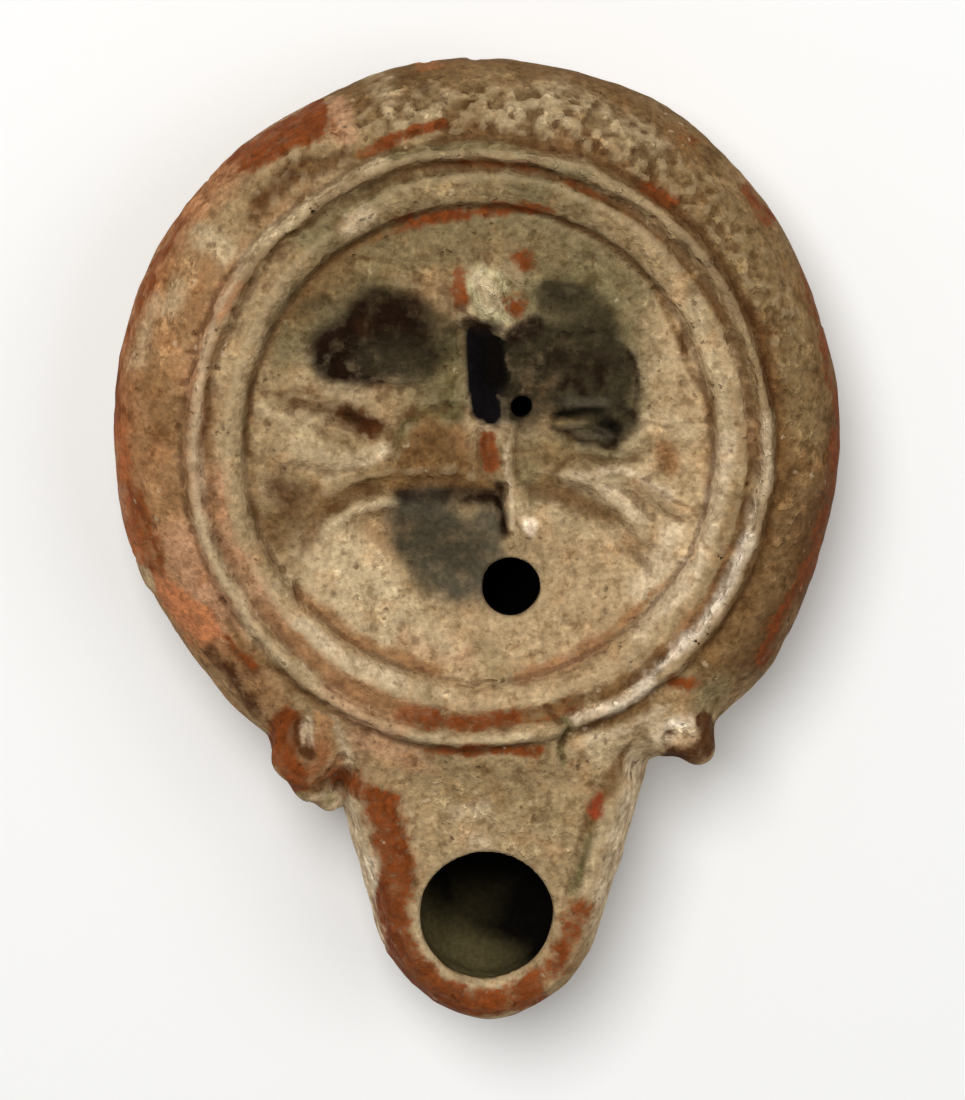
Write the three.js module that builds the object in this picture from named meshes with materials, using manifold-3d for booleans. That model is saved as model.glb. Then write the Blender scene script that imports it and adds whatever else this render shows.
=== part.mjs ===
// Roman oil lamp of fired clay: a round hollow body under a sunk picture disc, with moulded
// rings round the disc, a rounded nozzle between two volutes, and a flat foot.
// Millimetres, +Z up. The origin is the centre of the foot's underside, and the nozzle points to -Y.
import * as THREE from "three";
import { mergeVertices } from "three/addons/utils/BufferGeometryUtils.js";
import Module from "manifold-3d";

// Body
const BODY_WIDTH = 75.6; // at the seam, from side to side
const BODY_DEPTH = 77.6; // at the seam, from back to front, without the nozzle
const SEAM_HEIGHT = 13.0; // where the upper and lower mould halves meet
const SHOULDER_HEIGHT = 23.4; // at the foot of the shoulder ring
const WALL = 3.2;

// Foot
const FOOT_WIDTH = 38.0;
const FOOT_RISE = 0.8; // the step from the foot up to the belly
const FOOT_GROOVE_WIDTH = 1.6;
const FOOT_GROOVE_DEPTH = 0.6;
const FOOT_GROOVE_MARGIN = 1.8; // from the foot's edge in to the groove

// Mouldings round the picture disc, from outside in
const RING_OUTER_RADIUS = 30.3;
const RING_WIDTH = 2.8;
const RING_RISE = 2.3; // above the shoulder
const RING_GROOVE_DROP = 0.5; // the groove's floor is this much above the shoulder
const BAND_WIDTH = 3.8;
const BAND_OUTER_RISE = 1.4;
const BAND_INNER_RISE = 0.3;
const BAND_EDGE = 0.6; // how far the band's inner edge leans over the disc

// Picture disc
const DISC_EDGE_DROP = 1.2; // below the shoulder
const DISC_CENTRE_DROP = 3.0;
const DISC_THICKNESS = 2.8;
const DISC_SEAT = 0.8; // how far the disc runs in under the band

// Nozzle
const NOZZLE_REACH = 62.3; // from the lamp's centre to the tip
const NOZZLE_OFFSET = 1.2; // its axis stands off the lamp's centre line
const TIP_RADIUS = 12.1;
const TIP_POINT = 1.82; // 2 is a round tip, and less is a more pointed one
const NOZZLE_SPREAD_DEG = 15; // each side, away from the axis
const NOZZLE_NECK_DEPTH = 2.8; // from the body's front in to where the nozzle is widest
const NOZZLE_ROOT_DEPTH = 2.4; // how far its root reaches in under the shoulder ring
const NOZZLE_TIP_HEIGHT = 20.8; // the sunk floor round the wick hole, at the tip
const NOZZLE_ROOT_HEIGHT = 22.8; // the same floor at the body
const KEEL_ROOT_HEIGHT = 3.6;
const KEEL_TIP_HEIGHT = 6.4;
const KEEL_INSET = 8.4; // how far the underside draws in from the seam
const FLANK_INSET = 2.1; // how far the upper side leans in from the seam to the rim
const RIM_WIDTH = 3.4;
const RIM_RISE = 0.8; // above the nozzle's sunk floor, dying away at the root
const RIM_ROUND = 0.8;

// Volutes, as posts that stand just inside the seam outline where the nozzle joins the body
const VOLUTES = [
  { name: "left", angleDeg: 28.0, inset: 1.4, radius: 4.2 },
  { name: "right", angleDeg: -35.0, inset: 2.4, radius: 4.0 },
];
const VOLUTE_HEIGHT = 22.6;
const VOLUTE_BASE_HEIGHT = 9.6;
const VOLUTE_TAPER = 0.7; // narrower at its top
const VOLUTE_GROOVE_DEPTH = 0.6;
const VOLUTE_EYE_RADIUS = 1.3;
const VOLUTE_PIT_DEPTH = 0.7;

// Holes
const WICK_HOLE_RADIUS = 6.9;
const WICK_HOLE_TIP_MARGIN = 13.0; // from the nozzle's tip to the hole's centre
const WICK_HOLE_SHIFT = -0.6; // off the nozzle's axis
const FILL_HOLE_RADIUS = 3.0;
const FILL_HOLE_AT = [3.1, -14.9];
const AIR_HOLE_RADIUS = 1.1;
const AIR_HOLE_AT = [4.2, 3.7];
const HOLE_EASE = 0.4; // the worn edge of each hole

// Losses and unevenness of the seam outline: an angle from +X, a spread and a depth
const OUTLINE_SWELLS = [
  { angleDeg: 20, spreadDeg: 14, depth: -0.5 },
  { angleDeg: 60, spreadDeg: 9, depth: 0.25 },
  { angleDeg: 116, spreadDeg: 9, depth: -0.35 },
  { angleDeg: 150, spreadDeg: 10, depth: 0.2 },
  { angleDeg: 216, spreadDeg: 9, depth: -0.8 },
  { angleDeg: 320, spreadDeg: 14, depth: 0.9 },
  { angleDeg: 355, spreadDeg: 12, depth: -0.4 },
];
const CHIP_ANGLE_DEG = 209.6;
const CHIP_DEPTH = 1.1;
const CHIP_RADIUS = 4.6;
const CHIP_HEIGHT = 16.0;

// The worn relief on the disc. Each form is a ridge from one point to the other, or a groove
// where its rise is negative. Points and widths are shares of the disc's radius.
const RELIEF = [
  { form: "head", from: [0.03, 0.68], to: [0.03, 0.62], width: [0.13, 0.13], rise: 1.9 },
  { form: "hair", from: [-0.1, 0.74], to: [-0.07, 0.56], width: [0.07, 0.07], rise: 0.7 },
  { form: "chest", from: [0.07, 0.47], to: [0.1, 0.12], width: [0.15, 0.12], rise: 1.3 },
  { form: "near arm", from: [0.1, 0.48], to: [0.26, 0.36], width: [0.08, 0.08], rise: 0.8 },
  { form: "side fold", from: [-0.07, 0.48], to: [-0.05, 0.13], width: [0.09, 0.09], rise: -0.9 },
  { form: "skirt", from: [0.03, 0.06], to: [0.06, -0.16], width: [0.15, 0.14], rise: 1.2 },
  { form: "staff", from: [0.15, -0.05], to: [0.16, -0.42], width: [0.07, 0.06], rise: 1.0 },
  { form: "left wing", from: [-0.58, 0.4], to: [-0.32, 0.5], width: [0.27, 0.25], rise: 0.8 },
  { form: "right wing", from: [0.38, 0.55], to: [0.55, 0.38], width: [0.23, 0.26], rise: 0.8 },
  { form: "haunch", from: [-0.26, -0.02], to: [-0.2, -0.02], width: [0.18, 0.18], rise: 1.6 },
  { form: "left limb", from: [-0.84, 0.03], to: [-0.48, -0.07], width: [0.13, 0.14], rise: 1.3 },
  { form: "left hollow", from: [-0.76, 0.17], to: [-0.42, 0.08], width: [0.08, 0.09], rise: -0.7 },
  { form: "bent limb", from: [-0.68, -0.4], to: [-0.52, -0.24], width: [0.1, 0.1], rise: 0.9 },
  { form: "long limb", from: [-0.52, -0.24], to: [0.02, -0.18], width: [0.1, 0.11], rise: 1.0 },
  { form: "under limb", from: [-0.5, -0.36], to: [0.02, -0.32], width: [0.09, 0.11], rise: -0.8 },
  { form: "mask", from: [0.44, 0.17], to: [0.56, 0.13], width: [0.2, 0.18], rise: 1.2 },
  { form: "mask brow", from: [0.34, 0.1], to: [0.6, 0.0], width: [0.07, 0.07], rise: -0.6 },
  { form: "upper fold", from: [0.62, -0.02], to: [0.9, 0.03], width: [0.09, 0.08], rise: 0.9 },
  { form: "right limb", from: [0.38, -0.13], to: [0.72, -0.38], width: [0.12, 0.1], rise: 1.5 },
  { form: "outer limb", from: [0.5, -0.1], to: [0.88, -0.3], width: [0.09, 0.08], rise: 1.0 },
  { form: "right hollow", from: [0.3, -0.26], to: [0.68, -0.54], width: [0.1, 0.1], rise: -0.9 },
];

// How finely the round forms are cut
const BODY_SEGMENTS = 72;
const DISC_SEGMENTS = 68;
const DISC_RINGS = 16;
const CHAMBER_SEGMENTS = 40;
const HOLE_SEGMENTS = 28;
const VOLUTE_SEGMENTS = 20;
const TIP_STEPS = 16;
const SIDE_STEPS = 4;
const CURVE_STEPS = 5;

const CLEAR = 2.0; // how far a cutter runs past what it cuts
const CLAY = { color: 0xa8835c, roughness: 0.9, metalness: 0.0 };

const bodyRadius = BODY_WIDTH / 2;
const footRadius = FOOT_WIDTH / 2;
const stretch = BODY_DEPTH / BODY_WIDTH; // along Y
const ringInnerRadius = RING_OUTER_RADIUS - RING_WIDTH;
const discRadius = ringInnerRadius - BAND_WIDTH;
const discEdgeHeight = SHOULDER_HEIGHT - DISC_EDGE_DROP;
const discCentreHeight = SHOULDER_HEIGHT - DISC_CENTRE_DROP;
const tipCentreY = TIP_RADIUS - NOZZLE_REACH;
const nozzleNeckY = NOZZLE_NECK_DEPTH - BODY_DEPTH / 2;
const nozzleRootY = NOZZLE_ROOT_DEPTH - RING_OUTER_RADIUS * stretch;
const lampTop = SHOULDER_HEIGHT + RING_RISE;

const wasm = await Module();
wasm.setup();

const radians = THREE.MathUtils.degToRad;
const lerp = THREE.MathUtils.lerp;
const steps = (count) => Array.from({ length: count + 1 }, (_, i) => i / count);

// A closed three.js geometry as a solid that can be joined and cut.
function solid(geometry) {
  const bare = new THREE.BufferGeometry();
  const source = geometry.index ? geometry.toNonIndexed() : geometry;
  bare.setAttribute("position", source.getAttribute("position"));
  const merged = mergeVertices(bare, 1e-4);
  const corners = merged.index.array;
  const kept = [];
  for (let i = 0; i < corners.length; i += 3) {
    const [a, b, c] = corners.slice(i, i + 3);
    if (a !== b && b !== c && c !== a) kept.push(a, b, c);
  }
  const mesh = new wasm.Mesh({
    numProp: 3,
    vertProperties: merged.attributes.position.array,
    triVerts: new Uint32Array(kept),
  });
  return new wasm.Manifold(mesh);
}

// A solid as a three.js geometry.
function geometryOf(made) {
  const mesh = made.getMesh();
  const geometry = new THREE.BufferGeometry();
  const places = new THREE.BufferAttribute(mesh.vertProperties, mesh.numProp);
  geometry.setAttribute("position", places);
  geometry.setIndex(new THREE.BufferAttribute(mesh.triVerts, 1));
  geometry.computeVertexNormals();
  return geometry;
}

// A profile of [radius, height] pairs turned about the Z axis, listed from the bottom up.
function revolve(profile, segments) {
  const points = profile.map(([radius, height]) => new THREE.Vector2(radius, height));
  return new THREE.LatheGeometry(points, segments).rotateX(Math.PI / 2);
}

// Moves every vertex of a geometry by a function of its place.
function warp(geometry, move) {
  const places = geometry.getAttribute("position");
  const place = new THREE.Vector3();
  for (let i = 0; i < places.count; i++) {
    move(place.fromBufferAttribute(places, i));
    places.setXYZ(i, place.x, place.y, place.z);
  }
  return geometry;
}

// A closed skin through rings of as many points each, with a fan over both ends.
function loft(rings) {
  const count = rings[0].length;
  const middle = (ring) =>
    ring.reduce((sum, p) => sum.add(p), new THREE.Vector3()).divideScalar(count);
  const points = [...rings.flat(), middle(rings[0]), middle(rings.at(-1))];
  const [low, high] = [points.length - 2, points.length - 1];
  const index = [];
  for (let i = 0; i < count; i++) {
    const next = (i + 1) % count;
    for (let r = 0; r + 1 < rings.length; r++) {
      const [a, b] = [r * count + i, r * count + next];
      index.push(a, b, b + count, a, b + count, a + count);
    }
    const top = (rings.length - 1) * count;
    index.push(low, next, i, high, top + i, top + next);
  }
  const geometry = new THREE.BufferGeometry().setFromPoints(points);
  return geometry.setIndex(index);
}

// How far the seam outline swells or draws in at an angle from +X.
function swell(angle) {
  let total = 0;
  for (const { angleDeg, spreadDeg, depth } of OUTLINE_SWELLS) {
    let apart = Math.abs(THREE.MathUtils.radToDeg(angle) - angleDeg) % 360;
    apart = Math.min(apart, 360 - apart);
    total += depth * Math.exp(-((apart / spreadDeg) ** 2));
  }
  return total;
}

// Makes a round form oval, and uneven towards the seam as the real body is.
function unevenOval(place) {
  const radius = Math.hypot(place.x, place.y);
  const near = (radius / bodyRadius) ** 6;
  const grown = 1 + (near * swell(Math.atan2(place.y, place.x))) / bodyRadius;
  place.x *= grown;
  place.y *= grown * stretch;
}

// A point inside the seam outline, at an angle from the nozzle's direction, positive to the left.
function insideOutline(angleFromNozzle, inset) {
  const angle = -Math.PI / 2 - angleFromNozzle;
  const reach = bodyRadius - inset;
  return new THREE.Vector2(reach * Math.cos(angle), reach * stretch * Math.sin(angle));
}

// The belly's curve, from the foot out and up to the seam, half way between an ellipse and a line.
function belly(innerRadius, low, outerRadius, high) {
  return steps(CURVE_STEPS).map((t) => {
    const turn = (t * Math.PI) / 2;
    const out = lerp(Math.sin(turn), t, 0.3);
    const up = lerp(1 - Math.cos(turn), t, 0.3);
    return [lerp(innerRadius, outerRadius, out), lerp(low, high, up)];
  });
}

// The shoulder's curve, from the seam up and in to the ring.
function shoulder(outerRadius, low, innerRadius, high) {
  return steps(CURVE_STEPS).slice(1).map((t) => {
    const turn = (t * Math.PI) / 2;
    return [
      lerp(innerRadius, outerRadius, Math.cos(turn)),
      lerp(low, high, Math.sin(turn)),
    ];
  });
}

// A half-round moulding from an outer radius in to an inner one, rising between two heights.
function halfRound(outerRadius, innerRadius, outerHeight, innerHeight, rise) {
  return steps(CURVE_STEPS + 1).slice(1).map((t) => {
    const inward = (1 - Math.cos(t * Math.PI)) / 2;
    const chord = lerp(outerHeight, innerHeight, t);
    const crown = rise - (chord - outerHeight);
    return [
      lerp(outerRadius, innerRadius, inward),
      chord + crown * Math.sin(t * Math.PI),
    ];
  });
}

// The foot's underside, from the centre out, with its shallow ring groove.
function footProfile() {
  const grooveOuter = footRadius - FOOT_GROOVE_MARGIN;
  const grooveInner = grooveOuter - FOOT_GROOVE_WIDTH;
  return [
    [0, 0],
    [grooveInner, 0],
    [grooveInner + FOOT_GROOVE_WIDTH / 4, FOOT_GROOVE_DEPTH],
    [grooveOuter - FOOT_GROOVE_WIDTH / 4, FOOT_GROOVE_DEPTH],
    [grooveOuter, 0],
    [footRadius, 0],
  ];
}

// The ring and the band between the shoulder and the picture disc.
function mouldingProfile() {
  const at = (rise) => SHOULDER_HEIGHT + rise;
  const inner = discRadius + BAND_EDGE;
  return [
    ...halfRound(RING_OUTER_RADIUS, ringInnerRadius, at(0), at(RING_GROOVE_DROP), RING_RISE),
    [ringInnerRadius - BAND_EDGE, at(BAND_OUTER_RISE)],
    [lerp(ringInnerRadius, inner, 0.5), at(lerp(BAND_OUTER_RISE, BAND_INNER_RISE, 0.35))],
    [inner, at(BAND_INNER_RISE)],
    [discRadius, discEdgeHeight - BAND_EDGE],
  ];
}

function outerBody() {
  const plateLevel = discCentreHeight - DISC_THICKNESS / 2;
  return solid(warp(revolve([
    ...footProfile(),
    ...belly(footRadius + FOOT_RISE, FOOT_RISE, bodyRadius, SEAM_HEIGHT),
    ...shoulder(bodyRadius, SEAM_HEIGHT, RING_OUTER_RADIUS, SHOULDER_HEIGHT),
    ...mouldingProfile(),
    [discRadius, plateLevel],
    [0, plateLevel],
  ], BODY_SEGMENTS), unevenOval));
}

// The height of the relief at a place on the disc, given in shares of the disc's radius.
function reliefRise(x, y) {
  let total = 0;
  for (const { from, to, width, rise } of RELIEF) {
    const [dx, dy] = [to[0] - from[0], to[1] - from[1]];
    const along = ((x - from[0]) * dx + (y - from[1]) * dy) / (dx * dx + dy * dy);
    const t = THREE.MathUtils.clamp(along, 0, 1);
    const apart = Math.hypot(x - from[0] - t * dx, y - from[1] - t * dy);
    const share = apart / lerp(width[0], width[1], t);
    if (share < 1) total += rise * (1 - share * share) ** 2;
  }
  return total;
}

function dishHeight(radius) {
  return lerp(discCentreHeight, discEdgeHeight, (radius / discRadius) ** 2);
}

// The picture disc: a dished plate with the relief raised on it.
function pictureDisc() {
  const rim = discRadius + DISC_SEAT;
  const low = discCentreHeight - DISC_THICKNESS * 0.75;
  const top = steps(DISC_RINGS).map((t) => {
    const radius = discRadius * (1 - t);
    return [radius, dishHeight(radius)];
  });
  const plate = revolve([[0, low], [rim, low], [rim, discEdgeHeight], ...top], DISC_SEGMENTS);
  return solid(warp(plate, (place) => {
    if (place.z > low) place.z += reliefRise(place.x / discRadius, place.y / discRadius);
    place.y *= stretch;
  }));
}

// The oil chamber, which follows the outside a wall's thickness in.
function chamber() {
  const inside = bodyRadius - WALL;
  const ceiling = dishHeight(discRadius) - DISC_THICKNESS;
  return solid(warp(revolve([
    [0, WALL],
    ...belly(footRadius - WALL / 2, WALL, inside, SEAM_HEIGHT),
    ...shoulder(inside, SEAM_HEIGHT, RING_OUTER_RADIUS - WALL / 2, SHOULDER_HEIGHT - WALL),
    [discRadius, ceiling],
    [discRadius / 2, dishHeight(discRadius / 2) - DISC_THICKNESS],
    [0, discCentreHeight - DISC_THICKNESS],
  ], CHAMBER_SEGMENTS), unevenOval));
}

// The nozzle's outline seen from above, anticlockwise from its left root, drawn in by an inset.
function nozzleOutline(inset) {
  const spread = radians(NOZZLE_SPREAD_DEG);
  const start = new THREE.Vector2(Math.cos(spread), -Math.sin(spread)).multiplyScalar(TIP_RADIUS);
  const neck = nozzleNeckY - tipCentreY;
  const neckWidth = start.x + (neck - start.y) * Math.tan(spread);
  const root = nozzleRootY - tipCentreY;
  const rootWidth = neckWidth - (root - neck) * Math.tan(spread);
  const side = steps(SIDE_STEPS).map(
    (t) => new THREE.Vector2(lerp(start.x, neckWidth, t), lerp(start.y, neck, t)),
  );
  const arc = steps(TIP_STEPS).slice(1, -1).map((t) => {
    const angle = lerp(Math.PI + spread, 2 * Math.PI - spread, t);
    const power = 2 / TIP_POINT;
    const [c, s] = [Math.cos(angle), Math.sin(angle)];
    const edge = Math.pow(Math.abs(c) ** (2 / power) + Math.abs(s) ** (2 / power), power / 2);
    return new THREE.Vector2(c, s).multiplyScalar(TIP_RADIUS / edge);
  });
  const left = [...side].reverse().map((p) => new THREE.Vector2(-p.x, p.y));
  const roots = [new THREE.Vector2(rootWidth, root), new THREE.Vector2(-rootWidth, root)];
  const loop = [...left, ...arc, ...side, ...roots];
  return loop.map((p, i) => {
    const [before, after] = [loop.at(i - 1), loop[(i + 1) % loop.length]];
    const along = after.clone().sub(before).normalize();
    const inward = new THREE.Vector2(-along.y, along.x);
    const way = roots.includes(p) ? new THREE.Vector2(-Math.sign(p.x), 0) : inward;
    const moved = p.clone().addScaledVector(way, inset);
    return moved.add(new THREE.Vector2(NOZZLE_OFFSET, tipCentreY));
  });
}

// A share from 0 at the nozzle's root to 1 at its tip.
const towardsTip = (y) => (y - nozzleRootY) / (-NOZZLE_REACH - nozzleRootY);
const floorHeight = (y) => lerp(NOZZLE_ROOT_HEIGHT, NOZZLE_TIP_HEIGHT, towardsTip(y));

// The rim's crest, which rises out of the floor from the nozzle's root to a rim's width past its neck.
function rimHeight(y) {
  const risen = THREE.MathUtils.smoothstep(-y, -nozzleRootY, RIM_WIDTH - nozzleNeckY);
  return floorHeight(y) + RIM_RISE * risen;
}

const keelHeight = (y) => lerp(KEEL_ROOT_HEIGHT, KEEL_TIP_HEIGHT, towardsTip(y));

// One ring of the nozzle's skin, at an inset and at a height that may follow y.
function nozzleRing(inset, heightAt) {
  return nozzleOutline(inset).map((p) => new THREE.Vector3(p.x, p.y, heightAt(p.y)));
}

// The nozzle's underside from its keel up to the seam, a wall's thickness in if asked.
function underside(wall) {
  return steps(CURVE_STEPS).map((t) => {
    const turn = (t * Math.PI) / 2;
    const inset = wall + (KEEL_INSET - wall) * (1 - Math.sin(turn));
    return nozzleRing(inset, (y) => lerp(SEAM_HEIGHT, keelHeight(y) + wall, Math.cos(turn)));
  });
}

function outerNozzle() {
  const rim = FLANK_INSET + RIM_ROUND;
  return solid(loft([
    ...underside(0),
    nozzleRing(FLANK_INSET / 3, (y) => lerp(SEAM_HEIGHT, rimHeight(y), 0.5)),
    nozzleRing(FLANK_INSET, (y) => rimHeight(y) - RIM_ROUND),
    nozzleRing(rim, rimHeight),
    nozzleRing(FLANK_INSET + RIM_WIDTH - RIM_ROUND, rimHeight),
    nozzleRing(FLANK_INSET + RIM_WIDTH, floorHeight),
  ]));
}

// The channel from the oil chamber to the wick.
function nozzleChannel() {
  const roof = (y) => floorHeight(y) - WALL;
  return solid(loft([
    ...underside(WALL),
    nozzleRing(WALL + FLANK_INSET / 2, (y) => lerp(SEAM_HEIGHT, roof(y), 0.6)),
    nozzleRing(WALL + FLANK_INSET * 2, roof),
  ]));
}

// A volute: a worn post whose top is a button with a sunk ring round its eye.
function volute({ angleDeg, inset, radius }) {
  const at = insideOutline(radians(angleDeg), inset);
  const top = radius - VOLUTE_TAPER;
  const ringMiddle = (top + VOLUTE_EYE_RADIUS) / 2;
  const profile = [
    [0, VOLUTE_BASE_HEIGHT],
    [radius * 0.5, VOLUTE_BASE_HEIGHT + radius * 0.25],
    [radius * 0.85, lerp(VOLUTE_BASE_HEIGHT, SEAM_HEIGHT, 0.6)],
    [radius, SEAM_HEIGHT],
    [top, VOLUTE_HEIGHT - RIM_ROUND],
    [top - RIM_ROUND, VOLUTE_HEIGHT],
    [ringMiddle, VOLUTE_HEIGHT - VOLUTE_GROOVE_DEPTH],
    [VOLUTE_EYE_RADIUS, VOLUTE_HEIGHT],
    [VOLUTE_EYE_RADIUS / 2, VOLUTE_HEIGHT],
    [0, VOLUTE_HEIGHT - VOLUTE_PIT_DEPTH],
  ];
  return solid(revolve(profile, VOLUTE_SEGMENTS).translate(at.x, at.y, 0));
}

// A cutter for a round hole through the top wall, with its edge eased at the surface it meets.
function holeCutter([x, y], radius, surface, floor) {
  const profile = [
    [0, floor],
    [radius, floor],
    [radius, surface - HOLE_EASE],
    [radius + HOLE_EASE, surface],
    [radius + HOLE_EASE, lampTop + CLEAR],
    [0, lampTop + CLEAR],
  ];
  return solid(revolve(profile, HOLE_SEGMENTS).translate(x, y, 0));
}

// The edge chip, a scoop out of the seam outline.
function chip() {
  const angle = radians(CHIP_ANGLE_DEG);
  const reach = bodyRadius - CHIP_DEPTH + CHIP_RADIUS;
  const scoop = new THREE.SphereGeometry(CHIP_RADIUS, 16, 12);
  return solid(scoop.translate(
    reach * Math.cos(angle),
    reach * stretch * Math.sin(angle),
    CHIP_HEIGHT,
  ));
}

function lampSolid() {
  const middle = SEAM_HEIGHT;
  const wickAt = [NOZZLE_OFFSET + WICK_HOLE_SHIFT, WICK_HOLE_TIP_MARGIN - NOZZLE_REACH];
  const wickSurface = floorHeight(wickAt[1]);
  const discSurface = ([x, y]) => dishHeight(Math.hypot(x, y / stretch));
  let lamp = outerBody().add(pictureDisc()).add(outerNozzle());
  for (const post of VOLUTES) lamp = lamp.add(volute(post));
  return lamp
    .subtract(chip())
    .subtract(chamber().add(nozzleChannel()))
    .subtract(holeCutter(wickAt, WICK_HOLE_RADIUS, wickSurface, middle))
    .subtract(holeCutter(FILL_HOLE_AT, FILL_HOLE_RADIUS, discSurface(FILL_HOLE_AT), middle))
    .subtract(holeCutter(AIR_HOLE_AT, AIR_HOLE_RADIUS, discSurface(AIR_HOLE_AT), middle));
}

const lamp = new THREE.Mesh(geometryOf(lampSolid()), new THREE.MeshStandardMaterial(CLAY));
lamp.name = "lamp";

const group = new THREE.Group();
group.add(lamp);
export default group;
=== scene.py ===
import math

import bpy
import numpy as np
from mathutils import Matrix, Vector


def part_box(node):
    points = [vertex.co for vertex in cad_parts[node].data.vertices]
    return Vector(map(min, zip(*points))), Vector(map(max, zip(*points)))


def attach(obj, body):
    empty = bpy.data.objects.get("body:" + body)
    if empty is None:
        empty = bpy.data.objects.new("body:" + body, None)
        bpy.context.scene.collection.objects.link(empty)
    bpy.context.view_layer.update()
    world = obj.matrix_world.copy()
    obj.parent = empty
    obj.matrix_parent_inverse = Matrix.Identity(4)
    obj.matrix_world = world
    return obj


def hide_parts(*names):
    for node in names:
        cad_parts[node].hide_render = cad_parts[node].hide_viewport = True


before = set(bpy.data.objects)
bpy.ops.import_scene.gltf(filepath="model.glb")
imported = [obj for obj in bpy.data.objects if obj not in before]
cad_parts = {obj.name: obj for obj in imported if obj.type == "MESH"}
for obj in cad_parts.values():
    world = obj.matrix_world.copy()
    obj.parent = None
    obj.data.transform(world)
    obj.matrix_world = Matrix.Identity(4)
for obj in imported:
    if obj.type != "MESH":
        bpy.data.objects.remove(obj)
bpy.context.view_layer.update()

MM = 0.001
LAMP_LOW, LAMP_HIGH = (np.array(corner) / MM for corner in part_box("lamp"))

# Body
BODY_WIDTH = 75.6
BODY_DEPTH = 77.6
SEAM_HEIGHT = 13.0
SHOULDER_HEIGHT = 23.4
WALL = 3.2

# Foot
FOOT_WIDTH = 38.0
FOOT_RISE = 0.8
FOOT_GROOVE_WIDTH = 1.6
FOOT_GROOVE_DEPTH = 0.6
FOOT_GROOVE_MARGIN = 1.8

# Mouldings round the picture disc, from outside in
RING_OUTER_RADIUS = 30.3
RING_WIDTH = 2.8
RING_RISE = LAMP_HIGH[2] - SHOULDER_HEIGHT
RING_GROOVE_DROP = 0.5
BAND_WIDTH = 3.8
BAND_OUTER_RISE = 1.4
BAND_INNER_RISE = 0.3
BAND_EDGE = 0.6
RING_SLIM = 0.5  # wear has taken this much off the ring's inner side
GROOVE_WIDTH = 1.1
WIDE_GROOVE_WIDTH = 2.2  # on the left and in front, where the groove has worn wide
WORN_GROOVE_FILL = 0.4  # how much shallower the groove is there

# Picture disc
DISC_EDGE_DROP = 1.2
DISC_CENTRE_DROP = 3.0
DISC_THICKNESS = 2.8

# Nozzle
NOZZLE_REACH = -LAMP_LOW[1]
NOZZLE_OFFSET = 1.2
TIP_RADIUS = 12.1
TIP_POINT = 1.82
NOZZLE_SPREAD = math.radians(15)
NOZZLE_NECK_DEPTH = 2.8
NOZZLE_ROOT_DEPTH = 2.4
NOZZLE_TIP_HEIGHT = 20.8
NOZZLE_ROOT_HEIGHT = 22.8
KEEL_ROOT_HEIGHT = 3.6
KEEL_TIP_HEIGHT = 6.4
KEEL_INSET = 8.4
FLANK_INSET = 2.1
RIM_WIDTH = 3.4
RIM_RISE = 0.8

# Volutes: where each stands inside the seam outline, its size, and how far its worn top leans
VOLUTES = {
    "left": {"angle": math.radians(28.0), "inset": 1.4, "radius": 4.2, "lean": (-0.8, 1.0)},
    "right": {"angle": math.radians(-35.0), "inset": 2.4, "radius": 4.0, "lean": (0.4, 0.5)},
}
VOLUTE_HEIGHT = 22.6
VOLUTE_BASE_HEIGHT = 9.6
VOLUTE_TAPER = 0.7

# What is left of the scrolls' lower ends, beside the nozzle's root
LOBES = {
    "left": {"at": (-17.4, -35.9), "radius": 2.0, "top": 20.4},
    "left tail": {"at": (-15.6, -37.6), "radius": 1.5, "top": 19.0},
    "right": {"at": (22.6, -32.0), "radius": 1.8, "top": 21.4},
}

# Small dents: path, width and depth
DENTS = {
    "left volute chip": ([(-18.2, -28.8), (-18.3, -30.3)], 1.1, 0.45),
    "left volute pit": ([(-18.0, -31.4), (-17.9, -31.7)], 0.8, 0.25),
    "right volute pit": ([(19.3, -30.1), (19.4, -30.3)], 0.7, 0.25),
    "crack": ([(6.8, -26.8), (7.4, -27.8), (8.9, -28.9), (8.2, -31.2), (8.5, -32.3)], 0.5, 0.3),
}

# Holes: centre and radius
WICK_HOLE = {"at": (0.6, 13.0 - NOZZLE_REACH), "radius": 6.9}
FILL_HOLE = {"at": (3.1, -14.9), "radius": 3.0}
AIR_HOLE = {"at": (4.2, 3.7), "radius": 1.1}
HOLES = (WICK_HOLE, FILL_HOLE, AIR_HOLE)

# Losses and unevenness of the seam outline: angle from +X, spread, depth
OUTLINE_SWELLS = [
    (20, 14, -0.5),
    (60, 9, 0.25),
    (116, 9, -0.35),
    (150, 10, 0.2),
    (216, 9, -0.8),
    (320, 14, 0.9),
    (355, 12, -0.4),
]
CHIP = {"angle": math.radians(209.0), "depth": 1.6, "radius": 5.6, "height": 15.0}

BODY_RADIUS = BODY_WIDTH / 2
FOOT_RADIUS = FOOT_WIDTH / 2
STRETCH = BODY_DEPTH / BODY_WIDTH
RING_INNER_RADIUS = RING_OUTER_RADIUS - RING_WIDTH
DISC_RADIUS = RING_INNER_RADIUS - BAND_WIDTH
DISC_EDGE_HEIGHT = SHOULDER_HEIGHT - DISC_EDGE_DROP
DISC_CENTRE_HEIGHT = SHOULDER_HEIGHT - DISC_CENTRE_DROP
TIP_CENTRE_Y = TIP_RADIUS - NOZZLE_REACH
NECK_Y = NOZZLE_NECK_DEPTH - BODY_DEPTH / 2
ROOT_Y = NOZZLE_ROOT_DEPTH - RING_OUTER_RADIUS * STRETCH

# Corners of the planes in which the sections are worked out
BODY_FRAME = ((0, -4), (46, 30))
POST_FRAME = ((0, -4), (16, 32))
NOZZLE_FRAME = ((-12, -4), (22, 32))
PLAN_FRAME = ((-34, -74), (36, 4))
FAR_INSIDE = 60.0  # an inset that lies beyond the middle of the nozzle

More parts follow.
